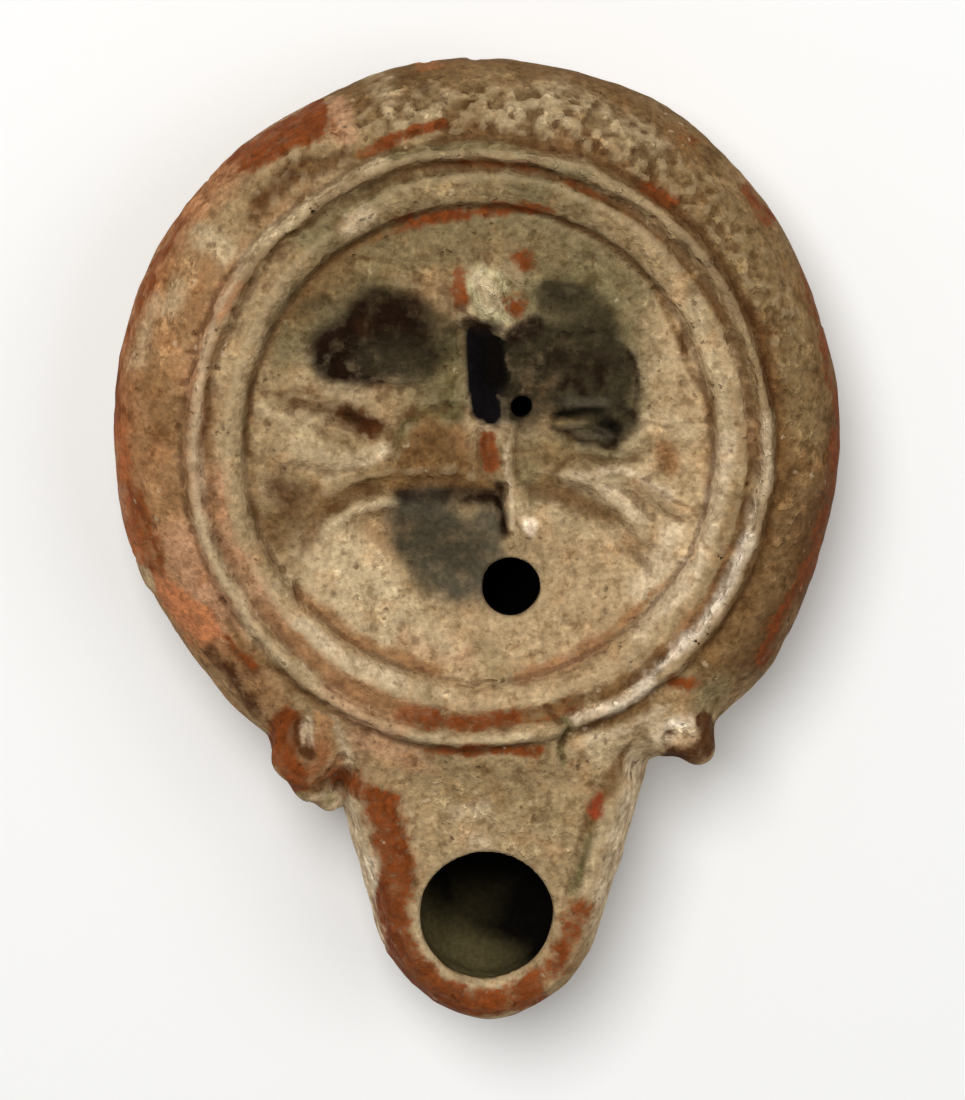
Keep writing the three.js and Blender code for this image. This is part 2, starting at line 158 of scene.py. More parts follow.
# How far forms run together, and how far worn edges are eased
NOZZLE_FILLET = 1.6
VOLUTE_FILLET = 1.5
LOBE_FILLET = 1.2
INSIDE_FILLET = 1.0
CHIP_EDGE = 0.3
MOUTH_EDGE = 0.4
HOLE_EDGE = 0.5
PLAN_SOFTENING = 6  # passes over the nozzle's outline, which is more worn than the rest

# Curves of the sections
BELLY_FLATNESS = 0.3  # 0 is an ellipse and 1 a straight line
RIDGE_SHARPNESS = 1.2
RIM_SHARPNESS = 0.7

# How finely the skin is made
GRID_STEP = 0.48
SECTION_STEP = 0.15
CURVE_STEPS = 20
HIDDEN_SHARE = 0.1  # of the faces left after the unseen inside is thinned out
INSIDE_MARGIN = 0.9  # how near the inside's form a point has to be to count as inside
HOLE_MARGIN = 1.2  # how far from each hole the faces may be thinned out
HOLLOW_PASSES = 3  # how many edges away a hollow's surroundings reach

# The camera, set so that the lamp falls where the photo has it
PHOTO_SIZE = (965, 1100)
FOCAL_PIXELS = 4320.0
SENSOR = 36.0
CAMERA_TARGET = np.array([0.5, -12.3, 13.0])
CAMERA_DISTANCE = 450.0
CAMERA_LEAN = (math.radians(-2.0), math.radians(9.5))  # towards +X and towards +Y


def smoothstep(low, high, value):
    share = np.clip((value - low) / (high - low), 0.0, 1.0)
    return share * share * (3.0 - 2.0 * share)


def lerp(a, b, share):
    return a + (b - a) * share


def linear(red, green, blue):
    """A colour given in display values from 0 to 255, as linear light."""
    shown = np.array([red, green, blue]) / 255.0
    return np.where(shown <= 0.04045, shown / 12.92, ((shown + 0.055) / 1.055) ** 2.4)


# Noise: smooth lattice noise between -1 and 1, the same at each run
LATTICE_SIZE = 64
LATTICES = {}
OCTAVES = 3


def noise(points, size, seed):
    """Noise whose lumps are about size across, at an array of points."""
    if seed not in LATTICES:
        shape = (LATTICE_SIZE,) * 3
        LATTICES[seed] = np.random.default_rng(seed).uniform(-1, 1, shape).astype(np.float32)
    table = LATTICES[seed]
    scaled = points / size + 7.31 * seed
    cell = np.floor(scaled).astype(np.int32)
    part = (scaled - cell).astype(np.float32)
    part = part * part * (3.0 - 2.0 * part)
    near = [(cell[:, k] % LATTICE_SIZE, 1.0 - part[:, k]) for k in range(3)]
    far = [((cell[:, k] + 1) % LATTICE_SIZE, part[:, k]) for k in range(3)]
    total = np.zeros(len(points), np.float32)
    for x, weight_x in (near[0], far[0]):
        for y, weight_y in (near[1], far[1]):
            for z, weight_z in (near[2], far[2]):
                total += table[x, y, z] * weight_x * weight_y * weight_z
    return total


def rough_noise(points, size, seed):
    """Noise with finer lumps on the large ones."""
    total = np.zeros(len(points), np.float32)
    for octave in range(OCTAVES):
        total += noise(points, size / 2**octave, seed + octave) / 2**octave
    return total


def layered(points, *layers):
    """Layers of noise put together: how strong each one is, how large its lumps are, its seed."""
    return sum(strength * noise(points, size, seed) for strength, size, seed in layers)


# Sections: outlines kept as tables of signed distance, negative inside


def outline_distance(points, outline):
    nearest = np.full(len(points), np.inf)
    inside = np.zeros(len(points), bool)
    for start, end in zip(outline, np.roll(outline, -1, axis=0)):
        edge = end - start
        along = np.clip(((points - start) @ edge) / (edge @ edge), 0.0, 1.0)
        apart = points - start - along[:, None] * edge
        nearest = np.minimum(nearest, np.hypot(apart[:, 0], apart[:, 1]))
        if edge[1] != 0.0:
            crosses = (start[1] > points[:, 1]) != (end[1] > points[:, 1])
            reach = start[0] + edge[0] * (points[:, 1] - start[1]) / edge[1]
            inside ^= crosses & (points[:, 0] < reach)
    return np.where(inside, -nearest, nearest)


def softened(table, passes):
    """The table with its sharp turns worn round."""
    for _ in range(passes):
        for axis in (0, 1):
            rolled = np.pad(np.moveaxis(table, axis, 0), ((1, 1), (0, 0)), mode="edge")
            smooth = (rolled[:-2] + 2 * rolled[1:-1] + rolled[2:]) / 4
            table = np.moveaxis(smooth, 0, axis)
    return table


class Section:
    """A closed outline in the plane, read as the distance to it."""

    def __init__(self, outline, low, high, softening=2):
        outline = np.array(outline, float)
        self.low = np.array(low, float)
        self.counts = np.ceil((np.array(high) - self.low) / SECTION_STEP).astype(int) + 1
        axes = [self.low[k] + SECTION_STEP * np.arange(self.counts[k]) for k in (0, 1)]
        places = np.stack(np.meshgrid(*axes, indexing="ij"), -1).reshape(-1, 2)
        distances = outline_distance(places, outline).reshape(self.counts)
        self.table = softened(distances, softening).astype(np.float32)

    def __call__(self, across, up):
        u = np.clip((across - self.low[0]) / SECTION_STEP, 0, self.counts[0] - 1.001)
        v = np.clip((up - self.low[1]) / SECTION_STEP, 0, self.counts[1] - 1.001)
        i, j = u.astype(np.int32), v.astype(np.int32)
        s, t = u - i, v - j
        low = lerp(self.table[i, j], self.table[i + 1, j], s)
        high = lerp(self.table[i, j + 1], self.table[i + 1, j + 1], s)
        return lerp(low, high, t)


def joined(a, b, reach):
    """Two shapes run together, with a fillet of about reach."""
    share = np.clip(0.5 + 0.5 * (b - a) / reach, 0.0, 1.0)
    return lerp(b, a, share) - reach * share * (1.0 - share)


def cut(shape, cutter, reach):
    """A shape less a cutter, with its edges eased by about reach."""
    return -joined(-shape, cutter, reach)


def steps():
    return np.linspace(0.0, 1.0, CURVE_STEPS + 1)


def belly(inner_radius, low, outer_radius, high):
    """From the foot out and up to the seam, a little flatter than an ellipse."""
    turn = steps() * math.pi / 2
    out = lerp(np.sin(turn), steps(), BELLY_FLATNESS)
    up = lerp(1.0 - np.cos(turn), steps(), BELLY_FLATNESS)
    return list(zip(lerp(inner_radius, outer_radius, out), lerp(low, high, up)))


def shoulder(outer_radius, low, inner_radius, high):
    """From the seam up and in to the ring."""
    turn = steps()[1:] * math.pi / 2
    radii = lerp(inner_radius, outer_radius, np.cos(turn))
    return list(zip(radii, lerp(low, high, np.sin(turn))))


def ridge(outer_radius, inner_radius, outer_height, inner_height, rise):
    """A worn ridge from an outer radius in to an inner one, soft at its foot."""
    share = steps()[1:]
    chord = lerp(outer_height, inner_height, share)
    crown = rise - (chord - outer_height)
    heights = chord + crown * np.sin(share * math.pi) ** RIDGE_SHARPNESS
    return list(zip(lerp(outer_radius, inner_radius, share), heights))


def dish_height(radius):
    return lerp(DISC_CENTRE_HEIGHT, DISC_EDGE_HEIGHT, (radius / DISC_RADIUS) ** 2)


def foot_outline():
    groove_outer = FOOT_RADIUS - FOOT_GROOVE_MARGIN
    groove_inner = groove_outer - FOOT_GROOVE_WIDTH
    return [
        (-FOOT_RADIUS, 0.0),
        (groove_inner, 0.0),
        (groove_inner + FOOT_GROOVE_WIDTH / 4, FOOT_GROOVE_DEPTH),
        (groove_outer - FOOT_GROOVE_WIDTH / 4, FOOT_GROOVE_DEPTH),
        (groove_outer, 0.0),
        (FOOT_RADIUS, 0.0),
    ]


def body_section(groove_width, groove_fill):
    """The body's section from its axis out, carried on past it so that it has no edge there."""
    band_inner = DISC_RADIUS + BAND_EDGE
    ring_foot = SHOULDER_HEIGHT + RING_GROOVE_DROP + groove_fill
    ring_inner = RING_INNER_RADIUS + RING_SLIM
    band_outer = ring_inner - groove_width
    disc = [(r, dish_height(r)) for r in DISC_RADIUS * (1.0 - steps())]
    outline = [
        *foot_outline(),
        *belly(FOOT_RADIUS + FOOT_RISE, FOOT_RISE, BODY_RADIUS, SEAM_HEIGHT),
        *shoulder(BODY_RADIUS, SEAM_HEIGHT, RING_OUTER_RADIUS, SHOULDER_HEIGHT),
        *ridge(RING_OUTER_RADIUS, ring_inner, SHOULDER_HEIGHT, ring_foot, RING_RISE),
        (lerp(ring_inner, band_outer, 0.5), ring_foot),
        (band_outer, SHOULDER_HEIGHT + BAND_OUTER_RISE),
        (
            lerp(band_outer, band_inner, 0.5),
            SHOULDER_HEIGHT + lerp(BAND_OUTER_RISE, BAND_INNER_RISE, 0.35),
        ),
        (band_inner, SHOULDER_HEIGHT + BAND_INNER_RISE),
        (DISC_RADIUS, DISC_EDGE_HEIGHT - BAND_EDGE),
        *disc,
        (-FOOT_RADIUS, DISC_CENTRE_HEIGHT),
    ]
    return Section(outline, *BODY_FRAME)


def chamber_section():
    inside = BODY_RADIUS - WALL
    outline = [
        (-FOOT_RADIUS, WALL),
        *belly(FOOT_RADIUS - WALL / 2, WALL, inside, SEAM_HEIGHT),
        *shoulder(inside, SEAM_HEIGHT, RING_OUTER_RADIUS - WALL / 2, SHOULDER_HEIGHT - WALL),
        *[(r, dish_height(r) - DISC_THICKNESS) for r in DISC_RADIUS * (1.0 - steps())],
        (-FOOT_RADIUS, DISC_CENTRE_HEIGHT - DISC_THICKNESS),
    ]
    return Section(outline, *BODY_FRAME)


def nozzle_plan():
    """The nozzle's seam outline from above, with its sides carried on into the body."""
    start = TIP_RADIUS * np.array([math.cos(NOZZLE_SPREAD), -math.sin(NOZZLE_SPREAD)])
    neck = NECK_Y - TIP_CENTRE_Y
    neck_width = start[0] + (neck - start[1]) * math.tan(NOZZLE_SPREAD)
    end = -TIP_CENTRE_Y
    end_width = neck_width - (end - neck) * math.tan(NOZZLE_SPREAD)
    side = [(end_width, end), (neck_width, neck)]
    angles = np.linspace(-NOZZLE_SPREAD, NOZZLE_SPREAD - math.pi, 2 * CURVE_STEPS)
    directions = np.stack([np.cos(angles), np.sin(angles)], -1)
    edges = (np.abs(directions) ** TIP_POINT).sum(-1) ** (1.0 / TIP_POINT)
    tip = TIP_RADIUS * directions / edges[:, None]
    other_side = [(-x, y) for x, y in reversed(side)]
    outline = np.array([*side, *tip, *other_side]) + (NOZZLE_OFFSET, TIP_CENTRE_Y)
    return Section(outline, *PLAN_FRAME, softening=PLAN_SOFTENING)


def nozzle_section():
    """The nozzle's section: across is how far in from its seam outline."""
    turn = steps() * math.pi / 2
    insets = KEEL_INSET * (1.0 - np.sin(turn))
    under = zip(insets, lerp(SEAM_HEIGHT, KEEL_ROOT_HEIGHT, np.cos(turn)))
    top = NOZZLE_ROOT_HEIGHT
    outline = [
        (FAR_INSIDE, KEEL_ROOT_HEIGHT),
        *under,
        (FLANK_INSET / 3, lerp(SEAM_HEIGHT, top, 0.5)),
        (FLANK_INSET * 0.8, top - 1.0),
        (FLANK_INSET + 0.5, top),
        (FAR_INSIDE, top),
    ]
    return Section(outline, *NOZZLE_FRAME)


def channel_section():
    turn = steps() * math.pi / 2
    insets = WALL + (KEEL_INSET - WALL) * (1.0 - np.sin(turn))
    under = zip(insets, lerp(SEAM_HEIGHT, KEEL_ROOT_HEIGHT + WALL, np.cos(turn)))
    roof = NOZZLE_ROOT_HEIGHT - WALL
    outline = [
        (FAR_INSIDE, KEEL_ROOT_HEIGHT + WALL),
        *under,
        (WALL + FLANK_INSET / 2, lerp(SEAM_HEIGHT, roof, 0.6)),
        (WALL + FLANK_INSET * 2, roof),
        (FAR_INSIDE, roof),
    ]
    return Section(outline, *NOZZLE_FRAME)


def volute_section(radius):
    """A worn post with a low domed top."""
    top = radius - VOLUTE_TAPER
    outline = [
        (-radius, VOLUTE_BASE_HEIGHT),
        (radius * 0.4, VOLUTE_BASE_HEIGHT),
        (radius * 0.85, lerp(VOLUTE_BASE_HEIGHT, SEAM_HEIGHT, 0.5)),
        (radius, SEAM_HEIGHT),
        (top, VOLUTE_HEIGHT - 1.0),
        (top - 0.8, VOLUTE_HEIGHT - 0.3),
        (radius * 0.3, VOLUTE_HEIGHT),
        (-radius, VOLUTE_HEIGHT),
    ]
    return Section(outline, *POST_FRAME)


# The worn relief on the disc, in millimetres from its centre. Each form is a ridge along its
# points, or a groove where its rise is negative, and its width and rise run from start to end.
RELIEF = {
    "head": ([(0.7, 16.1), (0.8, 14.6)], (3.1, 3.1), 1.9),
    "hair": ([(-2.4, 17.3), (-2.2, 14.6), (-1.7, 12.8)], (1.4, 1.1), 0.8),
    "veil": ([(3.8, 18.6), (4.2, 17.6)], (1.2, 1.2), 0.5),
    "chest": ([(1.5, 11.2), (2.4, 3.0)], (3.4, 2.7), 1.2),
    "near arm": ([(1.9, 11.8), (3.7, 11.2), (5.6, 8.9)], (1.5, 1.4), 0.9),
    "forearm": ([(5.6, 8.9), (5.4, 6.2)], (1.3, 1.1), 0.6),
    "side fold": ([(-1.4, 11.6), (-1.0, 7.2), (-0.9, 2.9)], (1.7, 1.5), -0.7),
    "belt": ([(0.2, 2.3), (3.1, 2.0)], (0.9, 0.8), 0.5),
    "skirt": ([(0.4, 1.4), (1.6, -3.9)], (3.2, 3.0), 0.3),
    "skirt fold": ([(-0.2, 0.9), (0.4, -3.4)], (0.8, 0.7), -0.5),
    "hem": ([(-0.6, -3.6), (2.8, -4.1)], (0.9, 0.9), 0.2),
    "staff": ([(3.1, 1.5), (2.9, -4.2), (3.6, -10.2)], (0.55, 0.5), 0.4),
    "staff shade": ([(2.3, -4.6), (2.5, -9.2)], (1.0, 0.8), -0.9),
    "left wing": ([(-13.6, 9.4), (-7.4, 11.8)], (6.2, 5.8), 0.9),
    "left wing edge": ([(-16.4, 13.8), (-11.4, 16.4), (-6.6, 16.2)], (1.1, 0.9), 0.3),
    "left plume": ([(-15.2, 8.4), (-11.0, 10.2), (-6.8, 9.6)], (1.1, 1.0), -0.5),
    "left lower plume": ([(-14.4, 6.2), (-9.8, 7.0), (-5.2, 6.6)], (1.0, 1.0), 0.5),
    "right wing": ([(9.4, 13.2), (13.2, 9.2)], (5.4, 6.2), 0.9),
    "right wing edge": ([(6.2, 15.8), (11.6, 16.2), (15.8, 12.6)], (1.1, 0.9), 0.3),
    "right plume": ([(8.6, 10.6), (12.4, 10.8), (15.6, 8.4)], (1.0, 0.9), -0.5),
    "haunch": ([(-6.2, -0.6), (-4.4, -0.2)], (4.6, 4.4), 0.9),
    "haunch edge": ([(-9.2, -1.4), (-8.0, 2.2), (-5.0, 3.8), (-2.2, 3.0)], (1.2, 1.1), -0.5),
    "left limb": ([(-19.9, 1.0), (-15.6, -0.8), (-9.9, -1.5)], (2.7, 2.9), 0.8),
    "left limb fold": ([(-18.4, -1.6), (-13.8, -2.8), (-10.2, -2.6)], (0.9, 0.8), -0.3),
    "left hollow": ([(-18.8, 3.7), (-12.8, 2.0), (-9.5, 0.8)], (1.7, 1.5), -0.5),
    "left eye": ([(-15.0, 2.3), (-12.4, 1.6)], (1.1, 1.0), -0.5),
    "left crest": ([(-20.6, 4.9), (-15.6, 4.3), (-10.8, 3.4)], (1.3, 1.2), 0.25),
    "bent limb": ([(-17.4, -10.6), (-15.2, -6.6), (-11.5, -4.9)], (2.0, 1.9), -0.45),
    "long limb": ([(-11.5, -4.9), (-3.0, -4.2), (2.3, -4.6)], (1.5, 1.3), -0.45),
    "limb ridge": ([(-15.7, -8.7), (-12.8, -6.6), (-7.9, -5.9)], (1.1, 1.0), 0.55),
    "long ridge": ([(-15.9, -4.0), (-9.0, -3.0), (-2.6, -2.6)], (1.3, 1.3), 0.4),
    "under limb": ([(-11.6, -8.4), (-6.0, -7.2), (0.8, -7.6)], (2.6, 2.6), -0.5),
    "mask": ([(10.4, 4.2), (13.2, 3.0)], (4.2, 4.0), 0.9),
    "mask brow": ([(7.6, 2.8), (10.9, 2.7)], (0.9, 0.8), -0.6),
    "mask mouth": ([(9.3, 0.7), (11.8, 0.6), (14.2, -0.2)], (0.9, 0.8), -0.6),
    "mask cheek": ([(13.4, 1.5), (15.4, 3.1)], (0.9, 0.8), -0.5),
    "mask curl": ([(9.2, 6.9), (10.1, 5.6)], (0.9, 0.8), -0.4),
    "mask side": ([(15.6, 8.1), (16.2, 5.6)], (0.9, 0.8), -0.4),
    "mask lip": ([(9.8, -0.6), (13.0, -0.9)], (0.8, 0.8), 0.4),
    "upper fold": ([(14.6, -0.2), (18.0, 0.2), (21.5, 1.0)], (1.6, 1.3), 0.8),
    "shoulder block": ([(13.8, -3.2), (16.6, -2.6)], (1.5, 1.4), 0.6),
    "right limb": ([(8.9, -3.2), (13.4, -5.1), (17.1, -9.3)], (1.7, 1.3), 1.2),
    "outer limb": ([(10.1, -2.6), (15.8, -4.3), (21.6, -7.6)], (1.2, 1.0), 0.8),
    "limb gap": ([(12.6, -4.4), (17.8, -7.6)], (0.8, 0.8), -0.5),
    "right hollow": ([(5.8, -5.3), (10.1, -6.3), (17.1, -12.2)], (2.3, 1.7), -1.0),
}


def path_reach(places, path):
    """How far each place is from a path, and the share of the path's length where it is nearest."""
    path = np.array(path, float)
    lengths = np.hypot(*np.diff(path, axis=0).T)
    ends = np.concatenate([[0.0], np.cumsum(lengths)]) / max(lengths.sum(), 1e-9)
    best = np.full(len(places), np.inf)
    share = np.zeros(len(places))
    for index, (start, end) in enumerate(zip(path, path[1:])):
        edge = end - start
        along = np.clip(((places - start) @ edge) / max(edge @ edge, 1e-9), 0.0, 1.0)
        apart = places - start - along[:, None] * edge
        reach = np.hypot(apart[:, 0], apart[:, 1])
        nearer = reach < best
        best = np.where(nearer, reach, best)
        share = np.where(nearer, lerp(ends[index], ends[index + 1], along), share)
    return best, share


def relief_rise(places):
    """The height of the relief at places on the disc."""
    total = np.zeros(len(places))
    for path, (start_width, end_width), rise in RELIEF.values():
        reach, share = path_reach(places, path)
        across = np.clip(reach / lerp(start_width, end_width, share), 0.0, 1.0)
        total += rise * (1.0 - across**2) ** 2
    return total


RELIEF_TABLE = {}
RELIEF_STEP = 0.2
RELIEF_MARGIN = 2.0


def relief_at(x, y):
    """The relief's height, read from a table made on first use."""
    reach = DISC_RADIUS + RELIEF_MARGIN
    if "heights" not in RELIEF_TABLE:
        axis = np.arange(-reach, reach + RELIEF_STEP, RELIEF_STEP)
        places = np.stack(np.meshgrid(axis, axis, indexing="ij"), -1).reshape(-1, 2)
        RELIEF_TABLE["heights"] = relief_rise(places).reshape(len(axis), len(axis))
    table = RELIEF_TABLE["heights"]
    u = np.clip((x + reach) / RELIEF_STEP, 0, len(table) - 1.001)
    v = np.clip((y + reach) / RELIEF_STEP, 0, len(table) - 1.001)
    i, j = u.astype(np.int32), v.astype(np.int32)
    s, t = u - i, v - j
    low = lerp(table[i, j], table[i + 1, j], s)
    high = lerp(table[i, j + 1], table[i + 1, j + 1], s)
    return lerp(low, high, t)


BODY = body_section(GROOVE_WIDTH, 0.0)
WORN_BODY = body_section(WIDE_GROOVE_WIDTH, WORN_GROOVE_FILL)
CHAMBER = chamber_section()
NOZZLE_PLAN = nozzle_plan()
NOZZLE = nozzle_section()
CHANNEL = channel_section()


def swell(angle):
    """How far the seam outline swells or draws in at an angle from +X."""
    total = np.zeros_like(angle)
    for at, spread, depth in OUTLINE_SWELLS:
        apart = np.abs(np.degrees(angle) - at) % 360.0
        apart = np.minimum(apart, 360.0 - apart)
        total += depth * np.exp(-((apart / spread) ** 2))
    return total


def round_radius(points):
    """The radius in the body's round section that stands for each point of the uneven oval."""
    x, y = points[:, 0], points[:, 1] / STRETCH
    radius = np.hypot(x, y)
    near = np.clip(radius / BODY_RADIUS, 0.0, 1.2) ** 6
    return radius / (1.0 + near * swell(np.arctan2(y, x)) / BODY_RADIUS)


def towards_tip(y):
    return np.clip((y - ROOT_Y) / (-NOZZLE_REACH - ROOT_Y), -0.3, 1.1)


def nozzle_level(points):
    """A height in the nozzle's section for each point, as the nozzle gets flatter to its tip."""
    y, z = points[:, 1], points[:, 2]
    floor = lerp(NOZZLE_ROOT_HEIGHT, NOZZLE_TIP_HEIGHT, towards_tip(y))
    keel = lerp(KEEL_ROOT_HEIGHT, KEEL_TIP_HEIGHT, towards_tip(y))
    above = (NOZZLE_ROOT_HEIGHT - SEAM_HEIGHT) / (floor - SEAM_HEIGHT)
    below = (SEAM_HEIGHT - KEEL_ROOT_HEIGHT) / (SEAM_HEIGHT - keel)
    return SEAM_HEIGHT + (z - SEAM_HEIGHT) * np.where(z > SEAM_HEIGHT, above, below)


def rim_bump(inset, y):
    """The rim's rise, from the flank in, dying away at the nozzle's root."""
    across = np.clip((inset - FLANK_INSET) / RIM_WIDTH, 0.0, 1.0)
    risen = smoothstep(-ROOT_Y, RIM_WIDTH - NECK_Y, -y)
    return RIM_RISE * risen * np.sin(across * math.pi) ** RIM_SHARPNESS


# How the mouldings wander: layers of noise, and where they start and are full
WANDER = ((0.28, 13.0, 5), (0.12, 4.0, 6))
WANDER_RADII = (36.0, 32.0)
WANDER_HEIGHTS = (14.0, 22.0)

# Where the relief starts and is full, and where the groove has worn wide
RELIEF_FADE = 2.0
RELIEF_HEIGHTS = (14.0, 17.0)
WORN_SIDE = np.array([-0.75, -0.65, 0.0])  # towards the left front
WORN_REACH = (-14.0, 4.0)


def body_shape(points):
    radius = round_radius(points)
    wander = smoothstep(*WANDER_RADII, radius) * layered(points, *WANDER)
    radius = radius + wander * smoothstep(*WANDER_HEIGHTS, points[:, 2])
    on_disc = smoothstep(DISC_RADIUS, DISC_RADIUS - RELIEF_FADE, radius)
    on_disc = on_disc * smoothstep(*RELIEF_HEIGHTS, points[:, 2])
    flat = points * (1.0, 1.0, 0.0)
    stray = [layered(flat, (0.55, 3.2, seed), (0.25, 1.3, seed)) for seed in (30, 31)]
    lift = relief_at(points[:, 0] + stray[0], points[:, 1] + stray[1])
    lift = on_disc * lift * (0.85 + 0.3 * noise(flat, 4.5, 32))
    heights = points[:, 2] - lift
    worn = smoothstep(*WORN_REACH, points @ WORN_SIDE)
    return lerp(BODY(radius, heights), WORN_BODY(radius, heights), worn)


def nozzle_shape(points):
    inset = -NOZZLE_PLAN(points[:, 0], points[:, 1])
    level = nozzle_level(points) - rim_bump(inset, points[:, 1])
    shape = NOZZLE(inset, level)
    return np.maximum(shape, points[:, 1] - ROOT_Y)


def volute_centre(volute):
    angle = -math.pi / 2 - volute["angle"]
    reach = BODY_RADIUS - volute["inset"]
    return np.array([reach * math.cos(angle), reach * STRETCH * math.sin(angle)])


def volute_shape(points, volute, section):
    """A post that leans over towards its top, worn uneven."""
    share = (points[:, 2] - SEAM_HEIGHT) / (VOLUTE_HEIGHT - SEAM_HEIGHT)
    lean = np.clip(share, 0.0, 1.1)[:, None] * np.array(volute["lean"])
    apart = points[:, :2] - volute_centre(volute) - lean
    radius = np.hypot(apart[:, 0], apart[:, 1]) + 0.45 * noise(points, 3.4, 8)
    sunk = 0.35 * noise(points, 2.6, 9)
    return section(radius, points[:, 2] + sunk)


def lobe_shape(points, lobe):
    """An upright post with round ends."""
    bottom = VOLUTE_BASE_HEIGHT + lobe["radius"]
    height = np.clip(points[:, 2], bottom, lobe["top"] - lobe["radius"])
    apart = points - np.c_[np.broadcast_to(lobe["at"], (len(points), 2)), height]
    return np.linalg.norm(apart, axis=1) - lobe["radius"] + 0.2 * noise(points, 2.4, 10)


VOLUTE_SECTIONS = {name: volute_section(v["radius"]) for name, v in VOLUTES.items()}


def outer_shape(points):
    shape = joined(body_shape(points), nozzle_shape(points), NOZZLE_FILLET)
    for name, volute in VOLUTES.items():
        post = volute_shape(points, volute, VOLUTE_SECTIONS[name])
        shape = joined(shape, post, VOLUTE_FILLET)
    for lobe in LOBES.values():
        shape = joined(shape, lobe_shape(points, lobe), LOBE_FILLET)
    return shape


def inner_shape(points):
    chamber = CHAMBER(round_radius(points), points[:, 2])
    inset = -NOZZLE_PLAN(points[:, 0], points[:, 1])
    channel = CHANNEL(inset, nozzle_level(points))
    channel = np.maximum(channel, points[:, 1] - ROOT_Y - WALL)
    return joined(chamber, channel, INSIDE_FILLET)


def hole_shape(points, hole):
    x, y = hole["at"]
    radius = np.hypot(points[:, 0] - x, points[:, 1] - y)
    ragged = 0.16 * noise(points, 2.6, 12)
    return np.maximum(radius - hole["radius"] + ragged, SEAM_HEIGHT - points[:, 2])


def chip_shape(points):
    reach = BODY_RADIUS - CHIP["depth"] + CHIP["radius"]
    centre = np.array([
        reach * math.cos(CHIP["angle"]),
        reach * STRETCH * math.sin(CHIP["angle"]),
        CHIP["height"],
    ])
    return np.linalg.norm(points - centre, axis=1) - CHIP["radius"] + 0.5 * noise(points, 2.2, 14)


# Wear: layers of noise, and where they start and are full
WAVES = ((0.22, 15.0, 20), (0.12, 6.0, 21))
LUMPS = ((0.09, 2.4, 22), (0.06, 1.2, 23))
RING_LUMPS = ((0.22, 2.2, 26), (0.12, 1.0, 27))
RING_INSIDE = (26.6, 27.6)
RING_OUTSIDE = (31.0, 30.0)
FOOT_HEIGHTS = (0.2, 2.5)
PIT_DEPTH = 0.22
PIT_EDGE = (0.55, 0.85)
WEAR_REACH = 3.0  # how far from the clean form wear can still move the surface

# The crust on the back of the shoulder
CRUST_RISE = 0.42
CRUST_LUMPS = ((1.0, 0.95, 25), (0.25, 2.2, 28))
CRUST_EDGE = (-0.45, 0.25)
CRUST_INSIDE = (30.4, 31.5)
CRUST_OUTSIDE = (36.2, 34.6)
CRUST_HEIGHTS = (17.0, 19.0)
CRUST_SIDE = np.array([0.3, 1.0, 0.0])  # towards the back, and a little to the right
CRUST_REACH = (12.0, 26.0)


def crust_lumps(points):
    """Where the lumps of crust stand, from 0 in the gaps to 1."""
    return smoothstep(*CRUST_EDGE, layered(points, *CRUST_LUMPS))


def crust_rise(points, radius):
    """How far the crust stands out of the clean form."""
    place = smoothstep(*CRUST_INSIDE, radius) * smoothstep(*CRUST_OUTSIDE, radius)
    place = place * smoothstep(*CRUST_HEIGHTS, points[:, 2])
    place = place * smoothstep(*CRUST_REACH, points @ CRUST_SIDE)
    return CRUST_RISE * place * crust_lumps(points)


def dented(points):
    """How deep the small dents are at each point."""
    depths = np.zeros(len(points))
    for dent_path, width, depth in DENTS.values():
        reach, _ = path_reach(points[:, :2], dent_path)
        depths = np.maximum(depths, depth * smoothstep(width, 0.5 * width, reach))
    return depths


def wear(points):
    """How far the surface stands in or out from its clean form: worn, pitted and crusted."""
    radius = round_radius(points)
    above_foot = smoothstep(*FOOT_HEIGHTS, points[:, 2])
    above_seam = points[:, 2] > SEAM_HEIGHT
    uneven = layered(points, *WAVES) + layered(points, *LUMPS)
    pits = PIT_DEPTH * smoothstep(*PIT_EDGE, noise(points, 1.5, 24))
    on_ring = smoothstep(*RING_INSIDE, radius) * smoothstep(*RING_OUTSIDE, radius)
    ring_lumps = on_ring * layered(points, *RING_LUMPS)
    worn = above_foot * (uneven + pits - crust_rise(points, radius))
    return worn + above_seam * (ring_lumps + dented(points))


def lamp_shape(points):
    outer = outer_shape(points)
    near = np.abs(outer) < WEAR_REACH
    outer[near] += wear(points[near])
    shape = cut(outer, chip_shape(points), CHIP_EDGE)
    shape = cut(shape, inner_shape(points), MOUTH_EDGE)
    for hole in HOLES:
        shape = cut(shape, hole_shape(points, hole), HOLE_EDGE)
    return shape


# The skin: a quad mesh over a shape's zero surface


def sampled(shape, low, counts, step):
    """A shape's values on a grid, worked out a slab at a time."""
    axes = [low[k] + step * np.arange(counts[k]) for k in range(3)]
    values = np.empty(counts, np.float32)
    for index, x in enumerate(axes[0]):
        y, z = np.meshgrid(axes[1], axes[2], indexing="ij")
        points = np.stack([np.full_like(y, x), y, z], -1).reshape(-1, 3)
        values[index] = shape(points).reshape(counts[1], counts[2])
    return values


CELL_CORNERS = [(i, j, k) for i in (0, 1) for j in (0, 1) for k in (0, 1)]


def at_cell_corner(grid, corner):
    """The grid's values at one corner of every cell."""
    ends = [count - 1 + offset for count, offset in zip(grid.shape, corner)]
    return grid[tuple(slice(offset, end) for offset, end in zip(corner, ends))]


def crossed_cells(inside):
    """Which cells the surface passes through."""
    count = sum(at_cell_corner(inside, corner).astype(np.int8) for corner in CELL_CORNERS)
    return (count > 0) & (count < len(CELL_CORNERS))


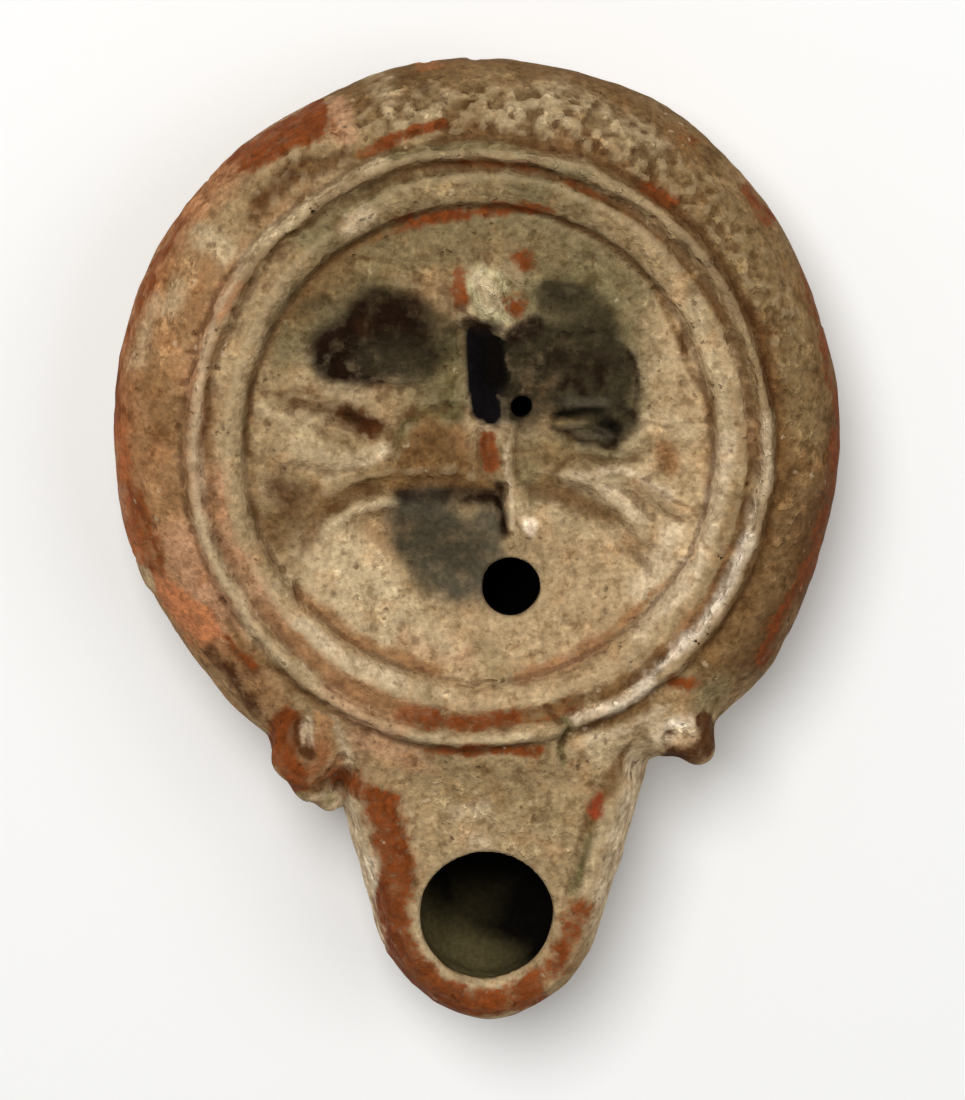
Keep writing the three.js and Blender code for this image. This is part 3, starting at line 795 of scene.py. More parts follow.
def cell_points(values, crossed):
    """In each crossed cell, the middle of the places where the surface meets its edges."""
    at_corner = {corner: at_cell_corner(values, corner)[crossed] for corner in CELL_CORNERS}
    where = np.argwhere(crossed)
    total = np.zeros((len(where), 3))
    crossings = np.zeros(len(where))
    for first in CELL_CORNERS:
        for axis in range(3):
            if first[axis]:
                continue
            second = tuple(1 if k == axis else first[k] for k in range(3))
            a, b = at_corner[first], at_corner[second]
            crosses = (a < 0) != (b < 0)
            place = np.tile(np.array(first, float), (len(where), 1))
            place[:, axis] = np.where(crosses, a / np.where(crosses, a - b, 1.0), 0.0)
            total += place * crosses[:, None]
            crossings += crosses
    return where + total / crossings[:, None]


def cell_quads(inside, number):
    """A quad across each of the grid's edges that the surface crosses, facing outwards."""
    quads = []
    for axis in range(3):
        u, v = (axis + 1) % 3, (axis + 2) % 3
        here = np.moveaxis(inside, (axis, u, v), (0, 1, 2))
        ids = np.moveaxis(number, (axis, u, v), (0, 1, 2))
        start, end = here[:-1, 1:-1, 1:-1], here[1:, 1:-1, 1:-1]
        around = [ids[:, :-1, :-1], ids[:, 1:, :-1], ids[:, 1:, 1:], ids[:, :-1, 1:]]
        for flips in (False, True):
            chosen = (end & ~start) if flips else (start & ~end)
            ring = np.stack([side[chosen] for side in around], -1)
            quads.append(ring[:, ::-1] if flips else ring)
    return np.concatenate(quads)


def skin(values, low, step):
    """Points and quads of the surface where the grid's values change sign."""
    inside = values < 0
    crossed = crossed_cells(inside)
    number = np.full(crossed.shape, -1, np.int64)
    number[crossed] = np.arange(crossed.sum())
    return low + step * cell_points(values, crossed), cell_quads(inside, number)


def settled(points, shape, step):
    """The points moved onto the shape's surface, along its slope."""
    reach = 0.4 * step
    here = shape(points)
    slope = np.empty_like(points)
    for axis in range(3):
        aside = points.copy()
        aside[:, axis] += reach
        slope[:, axis] = (shape(aside) - here) / reach
    move = here[:, None] * slope / np.maximum((slope**2).sum(1), 0.25)[:, None]
    length = np.linalg.norm(move, axis=1, keepdims=True)
    return points - move * np.minimum(1.0, 0.5 * step / np.maximum(length, 1e-9))


def lamp_mesh():
    margin = 2.0
    low = LAMP_LOW - margin
    counts = tuple(int(n) for n in np.ceil((LAMP_HIGH + margin - low) / GRID_STEP) + 1)
    values = sampled(lamp_shape, low, counts, GRID_STEP)
    points, quads = skin(values, low, GRID_STEP)
    points = settled(points, lamp_shape, GRID_STEP)
    mesh = bpy.data.meshes.new("lamp_skin")
    mesh.from_pydata((points * MM).tolist(), [], quads.tolist())
    mesh.update()
    mesh.shade_smooth()
    return mesh


def thin_inside(piece):
    """Takes faces out of the unseen inside, where they would show nothing."""
    points = mesh_points(piece.data)
    from_inside = inner_shape(points)
    from_holes = np.minimum.reduce([hole_shape(points, hole) for hole in HOLES])
    hidden = (from_inside < INSIDE_MARGIN) & (from_holes > HOLE_MARGIN)
    group = piece.vertex_groups.new(name="inside")
    group.add(np.flatnonzero(hidden).tolist(), 1.0, "REPLACE")
    thin = piece.modifiers.new("thin", "DECIMATE")
    thin.ratio = 1.0 - (1.0 - HIDDEN_SHARE) * float(hidden.mean())
    thin.vertex_group = group.name
    thin.vertex_group_factor = 10.0
    applied(piece)
    piece.vertex_groups.clear()


def applied(piece):
    """Puts the result of the piece's modifiers into its mesh."""
    graph = bpy.context.evaluated_depsgraph_get()
    made = bpy.data.meshes.new_from_object(piece.evaluated_get(graph))
    piece.modifiers.clear()
    piece.data = made


def mesh_points(mesh):
    flat = np.empty(len(mesh.vertices) * 3, np.float32)
    mesh.vertices.foreach_get("co", flat)
    return flat.reshape(-1, 3).astype(float) / MM


def mesh_normals(mesh):
    flat = np.empty(len(mesh.vertices) * 3, np.float32)
    mesh.vertex_normals.foreach_get("vector", flat)
    return flat.reshape(-1, 3).astype(float)


def spread_along_edges(mesh, values, passes):
    """Vertex values averaged over their neighbours, some passes over."""
    edges = np.empty(len(mesh.edges) * 2, np.int32)
    mesh.edges.foreach_get("vertices", edges)
    a, b = edges.reshape(-1, 2).T
    count = np.bincount(a, minlength=len(values)) + np.bincount(b, minlength=len(values)) + 1
    for _ in range(passes):
        total = values.copy()
        total += np.bincount(a, values[b], len(values)) + np.bincount(b, values[a], len(values))
        values = total / count
    return values


def hollowness(mesh, passes):
    """How far each vertex lies below its surroundings, in millimetres: above 0 in a hollow."""
    points, normals = mesh_points(mesh), mesh_normals(mesh)
    around = np.stack([spread_along_edges(mesh, points[:, k], passes) for k in range(3)], -1)
    return ((around - points) * normals).sum(1)


# Camera


def camera_axes():
    away = np.array([math.sin(CAMERA_LEAN[0]), math.sin(CAMERA_LEAN[1]), 0.0])
    away[2] = math.sqrt(1.0 - away @ away)
    up = np.array([0.0, 1.0, 0.0]) - away * away[1]
    up /= np.linalg.norm(up)
    return np.cross(up, away), up, away


def photo_place(points):
    """Where each point falls in the photo, in its pixels."""
    right, up, away = camera_axes()
    from_camera = points - (CAMERA_TARGET + CAMERA_DISTANCE * away)
    depth = -(from_camera @ away)
    x = PHOTO_SIZE[0] / 2 + FOCAL_PIXELS * (from_camera @ right) / depth
    y = PHOTO_SIZE[1] / 2 - FOCAL_PIXELS * (from_camera @ up) / depth
    return np.stack([x, y], -1)


def add_camera():
    right, up, away = camera_axes()
    data = bpy.data.cameras.new("camera")
    data.sensor_width = SENSOR
    data.lens = SENSOR * FOCAL_PIXELS / max(PHOTO_SIZE)
    data.clip_start = 0.01
    data.clip_end = 20.0
    camera = bpy.data.objects.new("camera", data)
    turn = Matrix((right, up, away)).transposed().to_4x4()
    place = Matrix.Translation(Vector((CAMERA_TARGET + CAMERA_DISTANCE * away) * MM))
    camera.matrix_world = place @ turn
    bpy.context.scene.collection.objects.link(camera)
    bpy.context.scene.camera = camera


# Colours of the clay and of what lies on it, as they look in the light of the scene; some of them
# also paint highlight and shade
WHITE = linear(226, 208, 182)
PALE = linear(205, 182, 148)
CREAM = linear(188, 165, 128)
BUFF = linear(176, 149, 111)
SAND = linear(158, 132, 95)
CLAY = linear(152, 112, 74)
PINK = linear(176, 132, 98)
KHAKI = linear(130, 105, 70)
OLIVE = linear(122, 107, 74)
MOSS = linear(98, 88, 56)
BROWN = linear(112, 82, 48)
STRAW = linear(188, 176, 134)
ORANGE = linear(160, 92, 50)
SLIP = linear(120, 60, 24)
RED = linear(132, 56, 30)
UMBER = linear(78, 46, 22)
SOOT_AND_SHADE_BROWN = linear(30, 17, 8)
SOOT_GREY = linear(54, 46, 30)
ASH = linear(84, 76, 60)
INK = linear(13, 10, 12)
SOOT_AND_SHADE_BLACK = linear(9, 6, 4)
EMBER = linear(184, 116, 74)

# What mottling does to the clay's colour, as a factor on red, green and blue
PALER = np.array([1.5, 1.55, 1.6])
DARKER = np.array([0.56, 0.5, 0.42])
REDDER = np.array([1.08, 0.9, 0.78])

# Each stroke: colour, path in photo pixels, half width, feather, strength

# Broad soft tones of the clay, with painted light and shade in them: darker towards the top, paler
# towards the bottom, darker along the right outline, and shade wherever a stroke is named so
TONES = {
    "left shoulder": (CLAY, [(170, 290), (150, 420), (165, 540), (215, 630)], 36, 24, 1.0),
    "upper left shoulder": (SAND, [(185, 265), (240, 195), (330, 150)], 24, 18, 0.6),
    "left shoulder inside": (SAND, [(185, 330), (176, 420), (190, 520)], 12, 12, 0.6),
    # Painted shade over khaki clay: the top shoulder is made darker
    "top shoulder": (KHAKI, [(360, 92), (480, 82), (600, 108), (700, 165)], 36, 20, 1.0),
    "right shoulder": (KHAKI, [(720, 215), (785, 320), (805, 430)], 38, 22, 1.0),
    "right lower shoulder": (BROWN, [(806, 480), (775, 590), (720, 665)], 30, 24, 0.8),
    "lower left shoulder": (CLAY, [(225, 640), (262, 690)], 26, 18, 0.9),
    "upper ring": (KHAKI, [(390, 158), (530, 152), (650, 210), (730, 310), (765, 400)], 12, 8, 0.7),
    "left ring": (CLAY, [(250, 250), (200, 350), (192, 450), (215, 550)], 14, 10, 0.8),
    "lower left ring": (SAND, [(230, 580), (300, 680), (400, 735)], 20, 14, 0.8),
    # Painted shade over olive clay: the upper band and disc are made darker
    "upper band": (OLIVE, [(300, 240), (380, 195), (500, 182), (580, 205)], 18, 12, 0.9),
    "left band": (SAND, [(280, 260), (232, 350), (228, 480), (262, 570)], 18, 12, 0.7),
    "right band": (BUFF, [(620, 235), (700, 340), (722, 440), (705, 540)], 18, 12, 0.9),
    # Painted light over buff clay: the lower band is made paler
    "lower band": (BUFF, [(290, 600), (380, 680), (480, 702), (600, 680), (680, 600)], 16, 10, 0.9),
    "upper disc": (
        OLIVE, [(340, 270), (420, 240), (500, 232), (580, 250), (620, 300)], 30, 20, 0.85,
    ),
    "left disc": (SAND, [(284, 330), (268, 420), (268, 480)], 24, 16, 0.9),
    "middle disc": (SAND, [(330, 460), (440, 450), (480, 470)], 34, 22, 0.8),
    "right disc": (BUFF, [(650, 330), (685, 420), (680, 520)], 30, 20, 0.9),
    "right middle disc": (OLIVE, [(530, 450), (600, 460)], 26, 18, 0.8),
    # Painted light over buff clay: the lower disc is made paler
    "lower disc": (BUFF, [(340, 580), (440, 640), (560, 620), (650, 560)], 44, 26, 0.9),
    "lower disc light": (BUFF, [(560, 560), (620, 570), (560, 630)], 30, 24, 0.8),
    "pale disc": (CREAM, [(335, 545), (365, 580), (400, 615)], 24, 16, 0.9),
    "nozzle floor": (SAND, [(420, 770), (480, 800), (560, 790)], 50, 26, 0.9),
    "nozzle floor light": (BUFF, [(440, 835), (500, 830), (560, 850)], 16, 12, 0.8),
    "nozzle left flank": (PALE, [(340, 812), (362, 880), (388, 950)], 14, 9, 1.0),
    "nozzle right flank": (CREAM, [(636, 780), (618, 860), (596, 935)], 14, 9, 1.0),
    "between volute and ring": (SAND, [(350, 750), (420, 770)], 20, 16, 0.8),
    "neck": (CREAM, [(590, 750), (650, 760)], 14, 12, 0.8),
    "wing shade left": (MOSS, [(320, 330), (378, 306), (430, 340), (436, 392)], 30, 26, 0.7),
    "wing shade right": (MOSS, [(556, 300), (600, 340), (600, 410)], 44, 24, 0.85),
    "figure shade": (KHAKI, [(420, 440), (470, 470), (560, 470)], 26, 18, 0.8),
    "limb shade": (KHAKI, [(320, 500), (400, 480)], 18, 12, 0.7),
    "upper left disc": (OLIVE, [(300, 300), (284, 350)], 18, 14, 0.8),
    "under nozzle floor": (SAND, [(420, 800), (430, 850)], 18, 14, 0.7),
    # Painted shade along the top shoulder, in brown
    "top shoulder dark": (
        BROWN, [(350, 96), (430, 72), (520, 66), (620, 96), (700, 150)], 22, 16, 0.7,
    ),
    "top shoulder low": (BROWN, [(430, 136), (530, 136), (620, 160), (680, 200)], 9, 8, 0.6),
    "left edge": (ORANGE, [(232, 160), (170, 240), (128, 340), (116, 430)], 16, 14, 0.6),
    "left edge low": (ORANGE, [(116, 430), (122, 510), (150, 580)], 20, 14, 0.6),
    "left shoulder warm": (
        CLAY, [(200, 260), (160, 350), (150, 450), (180, 560), (230, 640)], 26, 20, 0.7,
    ),
    "left ring warm": (
        PINK, [(226, 290), (196, 370), (190, 450), (206, 530), (250, 616)], 9, 8, 0.6,
    ),
    "upper left shade": (KHAKI, [(262, 196), (320, 160), (380, 140)], 14, 12, 0.8),
    # Painted shade along the right outline, in brown and umber, this stroke and the next
    "right edge": (BROWN, [(760, 200), (815, 300), (834, 400)], 14, 12, 0.6),
    "right edge low": (UMBER, [(838, 420), (832, 500), (800, 590), (752, 668)], 14, 12, 0.7),
    "disc top grey": (KHAKI, [(330, 290), (400, 252), (470, 240), (560, 256)], 14, 14, 0.35),
    "lower left shoulder light": (PINK, [(182, 540), (200, 585), (222, 622)], 20, 14, 0.85),
    # Painted shade at the right outline, in umber
    "right far edge": (UMBER, [(816, 500), (800, 540)], 14, 12, 0.5),
    "lower left disc": (CREAM, [(300, 560), (336, 596), (380, 630)], 18, 14, 0.8),
}

# Lighter and darker details that run into the clay; among them painted highlight on the ring's
# crest and the left limb, and painted shade outside the ring and wherever a stroke is named shade
DETAILS = {
    "upper left pale": (PINK, [(338, 106), (342, 132)], 11, 5, 0.8),
    "upper left crust": (CREAM, [(378, 80), (402, 118), (440, 100)], 14, 9, 0.55),
    "top crust": (CREAM, [(500, 108), (560, 104), (630, 134), (652, 150)], 20, 10, 0.6),
    "left pale patch": (CREAM, [(206, 238), (224, 250)], 13, 7, 0.9),
    "left pale lumps": (CREAM, [(178, 290), (170, 310)], 9, 7, 0.6),
    "left pale edge": (CREAM, [(140, 560), (150, 590)], 6, 4, 0.9),
    "left shade": (BROWN, [(160, 380), (168, 430)], 14, 12, 0.4),
    "upper hollow": (UMBER, [(296, 176), (308, 168)], 7, 5, 0.9),
    "upper hollow lower": (BROWN, [(258, 208), (276, 196)], 8, 6, 0.9),
    "under crust": (BROWN, [(440, 134), (530, 138), (600, 158), (650, 188)], 9, 7, 0.8),
    # Painted shade in the dip outside the ring on the right and lower right, in brown
    "ring foot right": (
        BROWN, [(650, 188), (705, 240), (750, 320), (778, 418), (776, 500)], 12, 8, 1.0,
    ),
    "ring foot lower right": (BROWN, [(776, 500), (750, 590), (700, 655)], 10, 8, 0.8),
    "ring crest top": (OLIVE, [(381, 160), (460, 147), (530, 155), (595, 178)], 6, 4, 0.85),
    # The ring's crest strokes from here to its bottom are painted highlight over worn pale clay,
    # brightest at the lower right
    "ring crest right": (
        SAND, [(595, 178), (660, 217), (703, 266), (740, 325), (764, 400)], 6, 4, 0.75,
    ),
    "ring crest far right": (PALE, [(768, 420), (766, 480), (750, 540)], 6, 4, 0.8),
    "ring crest lower right": (WHITE, [(750, 540), (722, 595), (684, 645), (640, 682)], 7, 4, 0.9),
    "ring crest tail": (WHITE, [(650, 686), (610, 708), (576, 722)], 7, 4, 0.8),
    "ring crest upper left": (CREAM, [(381, 161), (322, 196), (273, 234), (246, 261)], 7, 4, 0.9),
    "ring crest left": (PALE, [(246, 261), (206, 340), (192, 430), (200, 520)], 4, 4, 0.6),
    "ring crest lower left": (CREAM, [(200, 520), (226, 585), (262, 640), (330, 692)], 7, 5, 0.9),
    "ring crest bottom": (CREAM, [(396, 733), (440, 739), (486, 742), (530, 738)], 5, 3, 0.9),
    "ring foot lower left": (BROWN, [(226, 622), (262, 662), (310, 702), (350, 722)], 5, 4, 0.8),
    "groove left": (
        BROWN, [(435, 164), (349, 183), (306, 218), (257, 261), (230, 304)], 5, 4, 0.85,
    ),
    "groove left side": (ORANGE, [(240, 284), (222, 318)], 4, 3, 0.8),
    "groove left low": (BROWN, [(214, 342), (206, 396), (203, 450), (214, 520)], 4, 3, 0.6),
    "groove top": (BROWN, [(435, 164), (530, 167), (584, 186), (638, 223)], 5, 4, 0.9),
    "groove right": (BROWN, [(638, 223), (687, 272), (719, 320)], 5, 4, 0.85),
    "groove right low": (BROWN, [(742, 440), (749, 470), (744, 510), (712, 585)], 4, 3, 0.6),
    "groove pink": (
        PINK, [(214, 470), (228, 540), (263, 600), (301, 646), (354, 688), (412, 712)], 9, 6, 0.75,
    ),
    "band lumps": (PALE, [(350, 226), (370, 214)], 8, 6, 0.8),
    "band grey": (SAND, [(392, 200), (460, 190), (500, 190)], 10, 7, 0.6),
    "band right light": (CREAM, [(690, 300), (716, 370), (728, 430)], 8, 6, 0.85),
    "band lower light": (CREAM, [(292, 614), (350, 668), (420, 694), (480, 700)], 6, 5, 0.8),
    "disc edge top": (
        BROWN, [(520, 204), (584, 229), (633, 261), (660, 299), (684, 350)], 4, 3, 0.85,
    ),
    "disc edge right": (BROWN, [(684, 350), (708, 400), (714, 470), (700, 520)], 4, 3, 0.7),
    "disc edge left": (
        BROWN, [(333, 261), (279, 320), (256, 374), (248, 450), (256, 510)], 5, 4, 0.7,
    ),
    "disc edge low left": (BROWN, [(256, 510), (270, 540), (290, 566)], 5, 4, 0.6),
    "disc edge clay": (CLAY, [(300, 592), (340, 626), (400, 662), (440, 674)], 6, 5, 0.9),
    "disc edge clay core": (CLAY, [(360, 642), (400, 660)], 4, 4, 0.9),
    "left disc patch": (UMBER, [(278, 484), (296, 500), (290, 516)], 13, 13, 0.75),
    "left brow": (BROWN, [(284, 392), (312, 396)], 8, 6, 0.7),
    "left hollow": (BROWN, [(298, 404), (336, 410)], 8, 8, 0.8),
    "left limb shade": (KHAKI, [(300, 434), (360, 452), (398, 474)], 8, 6, 0.8),
    "left limb": (CREAM, [(300, 452), (340, 462)], 12, 8, 0.8),
    # Painted highlight on the left limb
    "left limb light": (PALE, [(366, 462), (386, 450)], 7, 5, 0.9),
    "left limb tail": (CREAM, [(326, 482), (372, 452)], 5, 4, 0.8),
    "haunch rim": (MOSS, [(397, 452), (404, 428), (426, 412), (446, 410)], 6, 5, 1.0),
    "haunch": (BROWN, [(418, 458), (440, 440), (452, 456)], 24, 14, 0.95),
    "haunch light": (CLAY, [(456, 430), (466, 450)], 6, 5, 0.6),
    "strip": (MOSS, [(452, 336), (452, 410)], 12, 8, 0.9),
    "bent limb": (BROWN, [(303, 548), (328, 510), (354, 487), (393, 480)], 8, 6, 0.6),
    "long limb": (BROWN, [(393, 480), (440, 478), (486, 484)], 7, 5, 0.7),
    "limb light": (CREAM, [(322, 540), (339, 522), (356, 511), (395, 502)], 4, 3, 1.0),
    "limb foot": (SAND, [(286, 560), (300, 570)], 8, 6, 0.7),
    "head": (STRAW, [(486, 286), (496, 302)], 23, 6, 0.95),
    "head light": (PALE, [(478, 276), (492, 300)], 9, 6, 0.7),
    "staff": (PALE, [(510, 444), (512, 490), (514, 530)], 2, 2, 0.9),
    "fleck": (WHITE, [(530, 525), (533, 528)], 6, 2, 1.0),
    "right of staff": (OLIVE, [(528, 470), (532, 500)], 10, 8, 0.8),
    "right limb shade": (BROWN, [(545, 490), (580, 498), (612, 515)], 11, 8, 0.8),
    "right limb": (CREAM, [(568, 475), (590, 484), (620, 500), (648, 520)], 8, 4, 1.0),
    "right limb light": (PALE, [(600, 488), (622, 502), (640, 514)], 5, 4, 0.9),
    "outer limb": (PALE, [(574, 474), (616, 472), (668, 494)], 5, 3, 0.9),
    "outer limb shade": (BROWN, [(634, 484), (664, 500), (680, 520)], 4, 3, 0.7),
    "right fold": (CREAM, [(630, 440), (650, 420), (690, 430)], 9, 7, 0.8),
    "right square": (CLAY, [(666, 450), (672, 466)], 10, 5, 1.0),
    "right dots": (UMBER, [(682, 334), (684, 348)], 4, 3, 0.9),
    "right disc light": (CREAM, [(640, 370), (662, 360)], 12, 9, 0.6),
    "lower pink": (PINK, [(410, 640), (460, 655)], 12, 10, 0.6),
    "lower specks": (OLIVE, [(484, 648), (500, 680)], 12, 9, 0.4),
    "under ring": (PINK, [(360, 740), (420, 760)], 14, 11, 0.7),
    "crack": (MOSS, [(552, 716), (569, 728), (562, 750), (566, 764)], 4, 3, 0.95),
    "right foot": (BROWN, [(585, 729), (616, 718), (652, 700)], 6, 4, 0.95),
    "right green": (OLIVE, [(704, 706), (722, 690)], 12, 9, 0.8),
    "left volute lobe": (OLIVE, [(300, 786), (312, 792), (326, 796)], 8, 4, 0.95),
    "left volute lobe light": (PALE, [(312, 798), (322, 794)], 4, 3, 0.8),
    "right volute": (PALE, [(662, 734), (684, 728)], 15, 5, 0.9),
    "right volute pit": (UMBER, [(668, 734), (669, 736)], 4, 3, 1.0),
    "floor patches": (PALE, [(455, 812), (480, 806)], 7, 6, 0.6),
    "floor patch": (PALE, [(470, 836), (486, 842)], 6, 5, 0.6),
    "hole lip": (CREAM, [(414, 900), (422, 948), (452, 980), (490, 986), (535, 974)], 4, 3, 0.9),
    "hole lip right": (BUFF, [(560, 890), (562, 930), (545, 965)], 4, 3, 0.8),
    "rim right shade": (MOSS, [(592, 826), (584, 856), (572, 888)], 5, 4, 0.9),
    "rim right top": (BROWN, [(626, 754), (608, 782), (593, 806), (586, 830)], 6, 4, 0.95),
    "rim right light": (CREAM, [(604, 812), (596, 850), (584, 890)], 6, 4, 0.8),
    "left flank dark": (MOSS, [(352, 836), (358, 852)], 5, 4, 0.6),
    "left flank light": (WHITE, [(368, 860), (378, 905)], 5, 4, 0.8),
    "ring shade right": (
        BROWN, [(600, 168), (672, 210), (724, 276), (756, 350), (770, 400)], 5, 4, 0.6,
    ),
    "groove pink core": (CLAY, [(263, 606), (301, 650), (354, 690), (400, 708)], 5, 4, 0.7),
    "right volute speck": (WHITE, [(688, 722), (692, 726)], 3, 2, 1.0),
    "right foot pale": (PALE, [(590, 744), (640, 724), (664, 706)], 5, 4, 0.7),
    "rim right edge": (PALE, [(636, 766), (626, 810), (612, 860), (600, 905)], 9, 5, 0.95),
    "left volute body": (CLAY, [(318, 736), (322, 762), (310, 776)], 15, 6, 0.9),
    "left volute chip": (PALE, [(302, 724), (303, 740)], 8, 2, 1.0),
    "left volute fringe": (PALE, [(334, 722), (340, 744), (348, 762)], 4, 4, 0.6),
    "nozzle flank left light": (PALE, [(346, 818), (358, 858), (376, 920)], 8, 5, 0.9),
    "head green": (OLIVE, [(500, 286), (492, 296)], 5, 5, 0.5),
    "ring left bottom": (PINK, [(330, 692), (366, 718), (400, 730)], 10, 7, 0.7),
    "left edge light": (CREAM, [(152, 300), (140, 360)], 8, 7, 0.5),
    "limb shade low": (BROWN, [(400, 486), (450, 486), (496, 490)], 6, 4, 0.8),
    # Painted shade outside the ring on the right, in umber
    "ring foot dark": (UMBER, [(640, 180), (700, 234), (750, 318), (776, 400)], 7, 7, 0.5),
    "right light": (PALE, [(726, 440), (716, 510), (690, 570), (664, 606)], 10, 7, 0.85),
    "band lower left light": (PALE, [(300, 622), (350, 662), (400, 684)], 7, 5, 0.8),
    "band top shade": (KHAKI, [(560, 200), (620, 232), (652, 262)], 10, 8, 0.6),
    "groove right worn": (BUFF, [(728, 350), (740, 385), (744, 420)], 6, 4, 0.8),
    "disc light right": (PALE, [(672, 530), (662, 562), (640, 590)], 12, 9, 0.85),
    "disc light low left": (CREAM, [(424, 634), (450, 646)], 12, 9, 0.8),
    "disc shade low left": (BROWN, [(272, 524), (286, 546)], 9, 7, 0.6),
    "left brow light": (CREAM, [(262, 404), (290, 420), (310, 436)], 7, 6, 0.7),
    "upper left disc dark": (BROWN, [(304, 312), (324, 280), (346, 266)], 14, 12, 0.6),
    "top shoulder hollow": (UMBER, [(262, 204), (300, 172), (346, 154)], 9, 8, 0.7),
    "top back light": (SAND, [(466, 88), (500, 88)], 12, 10, 0.6),
    "right crust shade": (KHAKI, [(628, 142), (672, 178), (790, 330)], 16, 12, 0.5),
    "lower left shoulder dark": (UMBER, [(234, 652), (250, 672)], 9, 7, 0.8),
    "skirt": (SLIP, [(488, 440), (497, 466)], 7, 4, 0.95),
    "left volute ground": (SLIP, [(284, 718), (281, 754), (294, 774)], 12, 5, 0.9),
    "right volute light": (WHITE, [(672, 722), (688, 724)], 5, 4, 0.8),
    "groove low left light": (PINK, [(396, 706), (430, 714)], 5, 4, 0.8),
    "floor olive": (OLIVE, [(450, 770), (520, 800), (560, 846)], 40, 26, 0.3),
    "disc edge lower right": (PINK, [(520, 676), (560, 662), (600, 644)], 6, 5, 0.8),
    "flank stripe": (CLAY, [(372, 820), (382, 870), (380, 920)], 5, 4, 0.6),
    "volute shade": (SLIP, [(312, 750), (318, 770)], 15, 8, 0.55),
    "disc right shade": (OLIVE, [(590, 258), (620, 276), (640, 300)], 14, 12, 0.6),
    "right band end": (PALE, [(700, 560), (670, 602), (640, 634)], 8, 6, 0.6),
}

# Where rough pale crust has gathered: path in photo pixels, half width, feather
CRUSTS = {
    "top": ([(400, 100), (500, 108), (570, 112), (650, 150)], 26, 14),
    "right": ([(720, 230), (780, 340), (800, 440), (780, 560)], 20, 20),
    "left": ([(210, 240), (180, 290), (165, 360)], 14, 10),
    "ring": ([(246, 261), (320, 196), (400, 158), (500, 147), (600, 180), (700, 264)], 7, 5),
    "ring right": ([(750, 350), (768, 430), (762, 510), (722, 595), (640, 682), (570, 722)], 7, 5),
    "head": ([(484, 284), (494, 304)], 14, 8),
    "nozzle flank": ([(345, 826), (362, 872), (384, 940)], 10, 6),
    "nozzle floor": ([(440, 800), (480, 830), (560, 850)], 22, 18),
    "right volute": ([(664, 732), (684, 732)], 12, 6),
}
